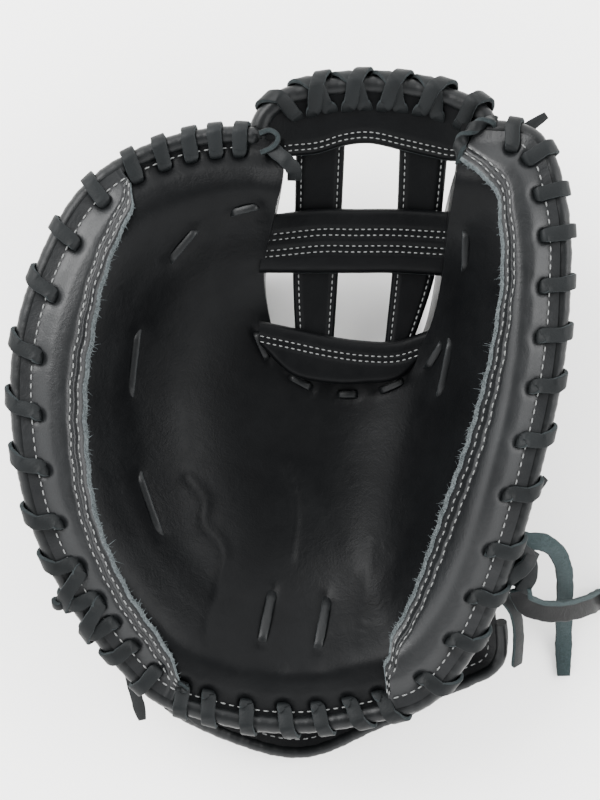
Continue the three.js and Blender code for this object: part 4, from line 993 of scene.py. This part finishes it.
def add_fibres(name, bearing, inner, rows):
    """Loose fibres that stand out of a raw edge."""
    chance = np.random.default_rng(len(name))
    count = int(FIBRES_PER_DEGREE * (bearing[-1] - bearing[0]))
    at = chance.uniform(bearing[0] + 1, bearing[-1] - 1, count)
    start = np.interp(at, bearing, inner) + chance.uniform(0, FIBRE_ROOTS, count)
    length = chance.gamma(*FIBRE_LENGTH, count)
    lean = chance.normal(0, FIBRE_LEAN, count)
    root = spot(at, start, 0)
    root[:, 2] = crescent_top(root[:, 0], root[:, 1], rows) - FIBRE_SINK
    inward = -unit(np.column_stack([ray(at), np.zeros(count)]))
    aside = np.cross(UP, inward)
    tip = root + inward * length[:, None] + aside * (lean * length)[:, None]
    lowest = palm_at(tip[:, 0], tip[:, 1]) + FIBRE_GAP
    tip[:, 2] = np.maximum(lowest, root[:, 2] - FIBRE_FALL * length)
    tip[:, 2] += chance.uniform(0, FIBRE_RISE, count)
    bend = (root + tip) / 2 + UP * (FIBRE_BOW * length)[:, None]
    thick = chance.uniform(*FIBRE_THICKNESS, count)[:, None]
    points = []
    for place, share in ((root, 1), (bend, 0.8), (tip, 0.15)):
        points += [place + side * thick * share for side in (aside, UP, -aside)]
    faces = []
    for first in range(0, len(points) * count, len(points)):
        faces += quads(3, FIBRE_SIDES, first, around=True).tolist()
        faces += [[first + 2, first + 1, first], [first + 6, first + 7, first + 8]]
    points = np.stack(points, 1).reshape(-1, 3)
    make(name, points, faces, (RAW_LOOK,), "panel_leather", sharp=80, closed=False)


# Stitches: short bowed pieces of thread. Each kind has its pitch, length and radius
RIM_STITCH = (4.0, 2.7, 0.34)
WEB_STITCH = (2.9, 2.0, 0.27)
STITCH_SIDES = 6
STITCH_TIP = 0.03
STITCH_BOW = (0.35, 1.1)
STITCH_STATIONS = np.linspace(-1, 1, 7)


def length_along(line):
    steps = np.linalg.norm(np.diff(line, axis=0), axis=1)
    return np.concatenate([[0], np.cumsum(steps)])


def resampled(line, pitch):
    """Points a pitch apart along a line."""
    length = length_along(line)
    at = np.arange(pitch / 2, length[-1] - pitch / 4, pitch)
    return [np.interp(at, length, column) for column in line.T]


def add_stitches(name, line, surface, stitch=RIM_STITCH, lift=0.12):
    pitch, length, radius = stitch
    x, y = resampled(line[:, :2], pitch)
    places = np.column_stack([x, y, surface(x, y)])
    along = np.gradient(places, axis=0)
    normal = normals_on(surface, x, y)
    along = unit(along - normal * np.sum(along * normal, axis=1)[:, None])
    side = np.cross(along, normal)
    places = places + normal * lift
    turn = np.linspace(0, 2 * math.pi, STITCH_SIDES, endpoint=False)
    swell = np.sqrt(np.maximum(0, 1 - STITCH_STATIONS**4)) * radius + STITCH_TIP
    bow = radius * (STITCH_BOW[0] - STITCH_BOW[1] * STITCH_STATIONS**4)
    ring = np.stack([np.cos(turn), np.sin(turn)], -1)
    rows = len(STITCH_STATIONS)
    points, faces = [], []
    for k, (place, a, n, s) in enumerate(zip(places, along, normal, side)):
        first = k * rows * STITCH_SIDES
        last = first + (rows - 1) * STITCH_SIDES
        grid = (
            place
            + (STITCH_STATIONS * length / 2)[:, None, None] * a
            + bow[:, None, None] * n
            + swell[:, None, None] * (ring[None, :, :1] * s + ring[None, :, 1:] * n)
        )
        points.append(grid.reshape(-1, 3))
        faces += quads(rows, STITCH_SIDES, first, around=True).tolist()
        faces.append(list(range(first, first + STITCH_SIDES)))
        faces.append(list(range(last, last + STITCH_SIDES))[::-1])
    make(name, np.concatenate(points), faces, (THREAD_LOOK,), "lace_leather", sharp=80)


# Rolls
ROLL_SIDES = 20
ROLL_TURN = np.linspace(0, 2 * math.pi, ROLL_SIDES, endpoint=False)


def roll(name, node, middle, out, up, reach):
    """A padded roll: middles, the ways out and up, and the radius at each station and angle."""
    points = (
        middle[:, None]
        + reach[..., None] * np.cos(ROLL_TURN)[None, :, None] * out[:, None]
        + reach[..., None] * np.sin(ROLL_TURN)[None, :, None] * up[:, None]
    )
    rows = len(middle)
    faces = quads(rows, ROLL_SIDES, around=True).tolist()
    faces.append(list(range(ROLL_SIDES))[::-1])
    faces.append(list(range((rows - 1) * ROLL_SIDES, rows * ROLL_SIDES)))
    make(name, points.reshape(-1, 3), faces, (ROLL_LOOK,), "panel_leather", (node,), sharp=60)


def frames_on(point_at, at, step):
    """Middles, ways along, out and up of a roll at each of several places."""
    at = np.asarray(at, float)
    along = unit(point_at(at + step) - point_at(at - step))
    out = unit(np.cross(along, UP))
    return point_at(at), along, out, np.cross(out, along)


def rim_frames(at):
    return frames_on(rim_point, at, 1)


def web_frames(at):
    return frames_on(web_roll_point, at, -0.01)


def pinched(at, wraps, width, depth, base):
    """A roll's radius, drawn in under each lace."""
    over = np.concatenate([rows["over"] for rows in wraps])
    pull = np.exp(-(((at[:, None] - over[None]) / width) ** 2)).sum(1)
    return base * (1 - depth * np.minimum(pull, 1))


LEAST_END = 0.12


def rounded_ends(at, span):
    """Shares of the radius that round off a roll's two ends."""
    near = np.clip(np.minimum(at - at[0], at[-1] - at) / span, 0, 1)
    return np.maximum(LEAST_END, np.sqrt(1 - (1 - near) ** 2))


ROLL_WAVES = ((0.02, 2.3, 0), (0.012, 5.1, 2))
BINDING_WAVES = ((0.03, 1.7, 0), (0.02, 4.3, 0))
RIM_STITCH_INSET = 5.9
BINDING_STITCH_INSET = 6.2
BINDING_OVERLAP = 0.9
# The groove between the roll's two tubes on the thumb side: where it starts and ends
GROOVE_START = 328
GROOVE_END = 400
GROOVE_ANGLE = 0.55 * math.pi
GROOVE_RUN_IN = 12
GROOVE_RUN_OUT = 10
SEAM_WIDTH = 0.2
SEAM_DEPTH = 0.16


def add_rim_roll():
    at = np.linspace(ROLL_START, ROLL_END, 700)
    middle, _, out, up = rim_frames(at)
    base = pinched(at, ALL_WRAPS, width=1.5, depth=0.09, base=ROLL_DIAMETER / 2)
    base = base * rounded_ends(at, 1.8)
    swell = waved(1, at, ROLL_WAVES)
    groove = np.clip((at - GROOVE_START) / GROOVE_RUN_IN, 0, 1)
    groove = groove * np.clip((GROOVE_END - at) / GROOVE_RUN_OUT, 0, 1)
    seam = np.exp(-(((ROLL_TURN - GROOVE_ANGLE) / SEAM_WIDTH) ** 2))
    reach = (base * swell)[:, None] * (1 - SEAM_DEPTH * groove[:, None] * seam)
    roll("rim_welting", "rim_roll", middle, out, up, reach)
    middle, _, out, _ = rim_frames(at[(at > STITCH_START) & (at < STITCH_END)][::2])
    add_stitches("rim_stitches", middle - out * RIM_STITCH_INSET, cover_at, lift=0.2)


def add_web_roll():
    at = np.linspace(WEB_ROLL["x"][0], WEB_ROLL["x"][-1], 220)
    middle, _, out, up = web_frames(at)
    wraps = (WEB_WRAPS, WEB_WRAPS_OVER)
    base = pinched(at, wraps, width=0.02, depth=0.08, base=WEB_ROLL_DIAMETER / 2)
    reach = (base * rounded_ends(at, 0.01))[:, None]
    roll("web_welting", "web_top_roll", middle[::-1], out[::-1], up[::-1], reach[::-1])


def back_lip(bearing):
    return spot(bearing, back_edge(bearing), edge_height(bearing) + SHELL_LEATHER / 2)


def add_binding():
    at = np.linspace(BINDING_START, BINDING_END, 200)
    middle, _, out, up = frames_on(back_lip, at, 1)
    middle = middle + out * (BINDING_DIAMETER / 2 - BINDING_OVERLAP)
    swell = waved(1, at, BINDING_WAVES)
    reach = (swell * BINDING_DIAMETER / 2)[:, None]
    roll("wrist_edge", "wrist_binding", middle, out, up, reach)

    def inside(x, y):
        return back_inside(*polar(x, y), SHELL_LEATHER)

    add_stitches("wrist_stitches", middle - out * BINDING_STITCH_INSET, inside)


# Laces: flat strips with rounded faces and raw edges. A section is half as wide and half as
# thick as its lace, and the raw sides start at the points counted here
SECTION = np.array(
    [
        (-1, -0.45), (-0.97, -0.82), (-0.86, -1), (0, -1.02), (0.86, -1), (0.97, -0.82),
        (1, -0.45), (1, 0.45), (0.97, 0.82), (0.86, 1), (0, 1.04), (-0.86, 1), (-0.97, 0.82),
        (-1, 0.45),
    ]
)
RAW_SIDES = (0, 5, 6, 7, 12, 13)
# The wrist lace's section where its far edge curls up to show its rough side
LIPPED = np.array(
    [
        (-1, 0.2), (-0.95, -0.6), (-0.8, -1), (0, -1.02), (0.86, -1), (0.97, -0.82), (1, -0.45),
        (1, 0.45), (0.97, 0.82), (0.86, 1), (0.2, 1.08), (-0.5, 1), (-0.62, 1.8), (-0.9, 2),
    ]
)
LIP_SIDES = (0, 1, 6, 7, 11, 12, 13)


def strip(
    name,
    path,
    face,
    width,
    thickness,
    nodes=(),
    slot="lace_leather",
    steps=8,
    looks=(LACE_LOOK, EDGE_LOOK),
    taper=1,
    widths=None,
    section=SECTION,
    raw_sides=RAW_SIDES,
):
    """A lace along a path. face is the way its flat side looks, everywhere or at each point."""
    face = unit(curve(np.broadcast_to(face, np.shape(path)), steps))
    path = curve(path, steps)
    along = unit(np.gradient(path, axis=0))
    side = unit(np.cross(along, face))
    up = unit(np.cross(side, along))
    length = length_along(path)
    phase = len(name)
    uneven = waved(1, length, ((0.035, 0.42, phase), (0.025, 1.13, 2 * phase)))
    ends = np.interp(length, [length[-1] - 1.2 * width, length[-1]], [1, taper])
    half_width = width / 2 * uneven * ends
    if widths:
        half_width = half_width * curve(np.array(widths)[:, None], steps)[:, 0]
    points = (
        path[:, None]
        + section[None, :, :1] * half_width[:, None, None] * side[:, None]
        + section[None, :, 1:] * thickness / 2 * up[:, None]
    )
    rows, sides = points.shape[:2]
    faces = quads(rows, sides, around=True).tolist()
    faces += [list(range(sides))[::-1], list(range((rows - 1) * sides, rows * sides))]
    marks = np.isin(np.tile(np.arange(sides), rows - 1), raw_sides)
    marks = np.concatenate([marks, [True, True]])
    return make(name, points.reshape(-1, 3), faces, looks, slot, nodes, marks, sharp=50)


LACE_LIFT = LACE_THICKNESS / 2 + CLEARANCE
HUG = 0.1
WRAP_THICKNESS = 2.1
# Round the roll: the angle, and the share of the slant from over to hole on the rim and the web
ROLL_ANGLES = (-100, -70, -40, -12, 14, 40, 64, 86)
ROLL_SHARES = (0, 0, 0.02, 0.1, 0.22, 0.36, 0.5, 0.63)
WEB_SHARES = (0, 0, 0.04, 0.12, 0.22, 0.35, 0.48, 0.62)
# Where a wrap goes in: the way out from its hole, its height above the leather, its share of
# the slant, the lean of its face and its width
ENTRY = (
    (3.0, 1.3, 0.8, 1.6, 1.0), (1.5, 0.9, 0.92, 1.0, 0.97), (0.3, -0.7, 1.0, 0.3, 0.8),
    (0.0, -2.4, 1.0, 0.0, 0.7),
)
UNDER_HOLE = 0.5
UNDER_HOLE_WIDTH = 0.7
UNDER_INWARD = 1.4
UNDER_LEAN = 1.2
CROSSED_LIFT = 1.3
WEB_OVER_LIFT = 1.5


def add_wraps(name, wraps, around, nodes, extra=0.0):
    """A lace wound slantwise over a roll and down its holes."""
    frame_of, radius, inset, front, back, shares = around
    reach = radius + WRAP_THICKNESS / 2 + HUG + extra
    path, faces, widths = [], [], []

    def lay(x, y, z, face, width):
        path.append((x, y, float(z)))
        faces.append(face)
        widths.append(width)

    for over, hole in zip(wraps["over"], wraps["hole"]):
        for angle, share in zip(np.radians(ROLL_ANGLES), shares):
            middle, _, out, up = frame_of(mix(over, hole, share))
            face = out * math.cos(angle) + up * math.sin(angle)
            lay(*(middle + face * reach), face, 1.0)
        for away, raise_by, share, lean, width in ENTRY:
            start, _, leaving, _ = frame_of(mix(over, hole, share))
            x, y = (start - leaving * (inset - away))[:2]
            lay(x, y, front(x, y) + raise_by + extra, unit(-leaving + UP * lean), width)
        start, _, leaving, _ = frame_of(hole)
        x, y = (start - leaving * inset)[:2]
        under = back(x, y) - extra
        lay(x, y, under + UNDER_HOLE, -leaving, UNDER_HOLE_WIDTH)
        x, y = (start - leaving * (inset - UNDER_INWARD))[:2]
        lay(x, y, under - LACE_LIFT, unit(-leaving - UNDER_LEAN * UP), 1.0)
    strip(name, path, faces, LACE_WIDTH, WRAP_THICKNESS, nodes, steps=3, widths=widths)


MOUTH_SINK = 0.15


def back_at(x, y):
    bearing, distance = polar(x, y)
    shell = back_height(bearing, distance)
    palm = palm_under(bearing, distance)
    return np.where(mouth(bearing, "sink") <= MOUTH_SINK, shell, palm)


def add_rim_laces():
    around = (rim_frames, ROLL_DIAMETER / 2, WRAP_HOLE_INSET, cover_at, back_at, ROLL_SHARES)
    for name, wraps in zip(("finger", "heel", "thumb"), ALL_WRAPS):
        add_wraps(f"{name}_wraps", wraps, around, (f"rim_lace_{name}",))
    add_wraps("crossed_wraps", CROSSED_WRAPS, around, (), CROSSED_LIFT)


# A lace between two slits: shares of its way and heights over the palm
SLIT_BOW = ((0, -2.6), (0.1, -0.5), (0.22, 0.35), (0.5, 0.75), (0.78, 0.35), (0.9, -0.5), (1, -2.6))
SLIT_THICKNESS = 0.8 * LACE_THICKNESS


def add_palm_laces():
    looks = (ROLL_LOOK, EDGE_LOOK)
    for name, ends in PALM_LACES.items():
        start, end = shares_to_mm(ends)
        path = []
        for share, raise_by in SLIT_BOW:
            x, y = mix(start, end, share)
            path.append((x, y, float(palm_at(x, y)) + raise_by))
        width = HEEL_SLIT_WIDTH if "heel" in name else SLIT_WIDTH
        strip(f"{name}_strip", path, UP, width, SLIT_THICKNESS, (name,), steps=5, looks=looks)


def add_tails():
    for name, (bearing, turn, length, drop, width) in LACE_TAILS.items():
        middle, _, out, _ = rim_frames(bearing)
        angle = math.radians(turn)
        away = out * math.cos(angle) + np.cross(UP, out) * math.sin(angle)
        start = middle - UP * (ROLL_DIAMETER / 2 + LACE_LIFT)
        path = [start + away * share * length - UP * fall * drop for share, fall in TAIL]
        width = width * LACE_WIDTH
        strip(f"{name}_strip", path, UP, width, LACE_THICKNESS, (name,), steps=6, taper=0.7)


def tie_path(rows):
    path = []
    for x, y, raise_by in rows:
        px, py = x * HALF_WIDTH, y * HALF_LENGTH
        path.append((px, py, float(palm_at(px, py)) + LACE_LIFT + raise_by))
    return np.array(path)


def add_ties():
    path = tie_path(FINGER_TIE)
    strip("finger_tip_tie", path, UP, LACE_WIDTH, LACE_THICKNESS, ("finger_tip_lace",))
    path = tie_path(FINGER_HAIRPIN)
    on_edge = np.cross(UP, np.gradient(path, axis=0))
    strip("finger_tip_hairpin", path, on_edge, 0.75 * LACE_WIDTH, LACE_THICKNESS)
    path = tie_path(THUMB_TIE)
    side = unit(np.cross(np.gradient(path, axis=0), UP))
    turn = np.radians(TIE_TWIST * np.arange(len(path)))[:, None]
    twisted = np.cos(turn) * UP + np.sin(turn) * side
    width, thickness = 0.85 * LACE_WIDTH, 1.2 * LACE_THICKNESS
    strip("thumb_tip_tie", path, twisted, width, thickness, ("thumb_tip_lace",))


RIM_KNOT_OUT = 2.2
# How far the curve of the lobes reaches, and the share of the knot's radius that it fills
KNOT_REACH = 3.1
KNOT_SHARE = 0.72
KNOT_DEPTH = 1.3
KNOT_LEAN = 0.3
KNOT_LEAN_TURN = 1.57
KNOT_LEAN_RISE = 0.4
WRIST_BANDS = {
    "wrist_knot_band": (
        (95.5, -61, 79), (101, -63, 82), (107, -69, 81), (108, -77, 78.5), (104, -84, 75.5),
    ),
    "wrist_knot_cross": (
        (95, -80, 79), (100, -76.5, 83.4), (106, -71.5, 83.4), (109, -66, 79),
    ),
    "wrist_knot_core": (
        (96.5, -63, 76), (100, -68, 78.6), (102, -74, 78.4), (100.5, -81, 75),
    ),
}
BAND_FACE = (0.25, 0.05, 1)


def add_rim_knot():
    """A lace tied on itself: a three-lobed knot drawn tight against the roll."""
    turn = np.linspace(0, 2 * math.pi, 60)
    size = RIM_KNOT_RADIUS * KNOT_SHARE / KNOT_REACH
    x = (np.sin(turn) + 2 * np.sin(2 * turn)) * size
    y = (np.cos(turn) - 2 * np.cos(2 * turn)) * size
    z = -np.sin(3 * turn) * size * KNOT_DEPTH
    angle = math.radians(RIM_KNOT_BEARING)
    c, s = math.cos(angle), math.sin(angle)
    path = np.column_stack([x * c - z * s, x * s + z * c, y])
    aside = angle + KNOT_LEAN_TURN
    lean = np.array([math.cos(aside), math.sin(aside), KNOT_LEAN_RISE])
    face = unit(path + KNOT_LEAN * lean)
    middle, _, out, _ = rim_frames(RIM_KNOT_BEARING)
    path = path + middle + out * (ROLL_DIAMETER / 2 + RIM_KNOT_OUT)
    width, thickness = 0.6 * LACE_WIDTH, 0.9 * LACE_THICKNESS
    strip("rim_lace_knot", path, face, width, thickness, ("rim_knot",), steps=2)


def add_wrist_knot():
    looks = (LACE_LOOK, FLESH_LOOK)
    for name, path in WRIST_BANDS.items():
        nodes = ("wrist_knot",) if name == "wrist_knot_band" else ()
        strip(name, path, BAND_FACE, LACE_WIDTH, 1.2 * LACE_THICKNESS, nodes, looks=looks)


def add_free_ends():
    """The wrist lace's two free ends. The photo shows the first one whole, and its edge cuts
    the second one off, so that one's length is a guess."""
    under = (UNDER_END, UNDER_END_WIDTH, "lace_suede", (FLESH_LOOK, EDGE_LOOK), SECTION, RAW_SIDES)
    over = (OVER_END, OVER_END_WIDTH, "lace_leather", (WEB_LOOK, FLESH_LOOK), LIPPED, LIP_SIDES)
    for name, ends in (("under", under), ("over", over)):
        route, width, slot, looks, section, raw_sides = ends
        fine = curve(route, 6)
        piece = strip(
            f"wrist_end_{name}",
            route,
            UP,
            width,
            WRIST_LACE_THICKNESS,
            (f"wrist_lace_{name}",),
            slot,
            steps=6,
            looks=looks,
            taper=0.75,
            section=section,
            raw_sides=raw_sides,
        )
        in_frame(route[0]).tolist()
        length_along(fine)[-1] / 1000
        in_frame(fine).tolist()


def add_short_end():
    strip(
        "wrist_short_end",
        SHORT_END,
        (0.45, 0.1, 1),
        SHORT_END_WIDTH,
        LACE_THICKNESS,
        ("lace_tail_wrist",),
        "lace_suede",
        steps=6,
        looks=(LACE_LOOK, FLESH_LOOK),
    )


# Web
PANEL_STEPS = 12
PANEL_SHARES = np.unique(np.concatenate([np.linspace(0, 1, 33), [0.015, 0.985]]))
POST_ROWS = (2.6, -2.6)
CROSSBAR_ROWS = (9.5, 12.2, 17, 19.7)
BASE_ROWS = (7, 9.6)
HEAD_ROWS = (-2.2, -4.6)
HEAD_UNDER_ROLL = 1.2
WEB_GROOVE_WIDTH = 1.1
WEB_EDGE_ROUNDING = 0.9


def web_panel(name, node, sections, low, thickness, puff, rows):
    """A leather piece of the web: a padded strip whose stitched rows are drawn in. A row is
    counted from the left side, or from the right one if it is negative."""
    left = curve(shares_to_mm([row[0] for row in sections]), PANEL_STEPS)
    right = curve(shares_to_mm([row[1] for row in sections]), PANEL_STEPS)
    plan = mix(left[:, None], right[:, None], PANEL_SHARES[None, :, None])
    width = np.linalg.norm(left - right, axis=1)[:, None]
    from_left = PANEL_SHARES * width
    rounding = 1 - np.exp(-np.minimum(from_left, width - from_left) / WEB_EDGE_ROUNDING)
    under = web_at(plan[..., 0], plan[..., 1]) + low
    height = under + thickness * (0.45 + 0.55 * rounding)
    height += puff * np.sin(math.pi * PANEL_SHARES) ** 0.7
    for row in rows:
        at = row if row > 0 else width + row
        groove = np.exp(-(((from_left - at) / WEB_GROOVE_WIDTH) ** 2))
        height -= (GROOVE_DEPTH + 0.25 * puff) * groove
    points, faces, kinds = slab(np.dstack([plan, height]), np.dstack([plan, under]))
    make(name, points, faces, (WEB_LOOK, EDGE_LOOK), "panel_leather", (node,), kinds > 0, sharp=60)

    def surface(x, y):
        return web_at(x, y) + low + thickness + puff * 0.6 - GROOVE_DEPTH

    for number, row in enumerate(rows):
        line = mix(left, right, row / width if row > 0 else 1 + row / width)
        add_stitches(f"{name}_stitches_{number + 1}", line, surface, WEB_STITCH)


def behind_web(x, y):
    return web_at(x, y) + FRONT_LAYER


def add_web():
    post = (0, POST_THICKNESS, 0, POST_ROWS)
    front = (FRONT_LAYER, WEB_FRONT_THICKNESS)
    web_panel("post_finger", "web_post_finger", POST_FINGER, *post)
    web_panel("post_thumb", "web_post_thumb", POST_THUMB, *post)
    web_panel("crossbar", "web_crossbar", CROSSBAR, *front, 1, CROSSBAR_ROWS)
    web_panel("web_foot", "web_base", BASE, *front, 0.6, BASE_ROWS)
    cover = HEAD_UNDER_ROLL / HALF_LENGTH
    sections = [((x, float(web_roll_y(x)) - cover), (x, low)) for x, low in TOP_PIECE]
    web_panel("web_head", "web_top", sections, *front, 0, HEAD_ROWS)
    radius = WEB_ROLL_DIAMETER / 2
    around = (web_frames, radius, WEB_HOLE_INSET, web_front, behind_web, WEB_SHARES)
    add_wraps("web_wraps", WEB_WRAPS, around, ("web_top_lace",))
    add_wraps("web_wraps_over", WEB_WRAPS_OVER, around, ("web_top_lace_over",), WEB_OVER_LIFT)


# Floor and light
FLOOR_HALF = 3.0
LIGHT_TARGET = (0, 0, 0.05)


def add_floor():
    mesh = bpy.data.meshes.new("floor")
    corners = [(x * FLOOR_HALF, y * FLOOR_HALF, 0) for x, y in ((-1, -1), (1, -1), (1, 1), (-1, 1))]
    mesh.from_pydata(corners, [], [(0, 1, 2, 3)])
    material, _, shader = nodes_of("pale_floor")
    shader.inputs["Base Color"].default_value = (0.95, 0.94, 0.92, 1)
    shader.inputs["Roughness"].default_value = 0.7
    mesh.materials.append(material)
    floor = bpy.data.objects.new("floor", mesh)
    bpy.context.scene.collection.objects.link(floor)


def add_light(name, place, size, power):
    data = bpy.data.lights.new(name, "AREA")
    data.shape = "RECTANGLE"
    data.size, data.size_y = size
    data.energy = power
    light = bpy.data.objects.new(name, data)
    light.location = place
    x, y, z = np.array(LIGHT_TARGET) - place
    light.rotation_euler = (math.atan2(math.hypot(x, y), -z), 0, math.atan2(-x, y))
    bpy.context.scene.collection.objects.link(light)


def add_room():
    """An even room that is bright all round and dim overhead."""
    world = bpy.data.worlds.new("room")
    world.use_nodes = True
    tree = world.node_tree
    way = add_node(tree, "ShaderNodeTexCoord").outputs["Generated"]
    height = add_node(tree, "ShaderNodeSeparateXYZ", {"Vector": way}).outputs["Z"]
    background = tree.nodes["Background"]
    tree.links.new(ramp(tree, height, 0.6, 0.95, 5.4, 0.8), background.inputs["Strength"])
    background.inputs["Color"].default_value = (0.98, 0.99, 1, 1)
    bpy.context.scene.world = world


add_free_ends()
add_palm()
add_back()
add_crescent("finger_panel", FINGER_CRESCENT, "finger_rim_panel")
add_crescent("thumb_panel", THUMB_CRESCENT, "thumb_rim_panel")
add_rim_roll()
add_binding()
add_rim_laces()
add_palm_laces()
add_tails()
add_ties()
add_wrist_knot()
add_rim_knot()
add_short_end()
add_web()
add_web_roll()
add_floor()
add_room()
add_light("key", (-1.0, 0.9, 1.35), (1.1, 1.1), 70)
add_light("fill", (1.3, 0.2, 1.0), (0.8, 1.2), 24)
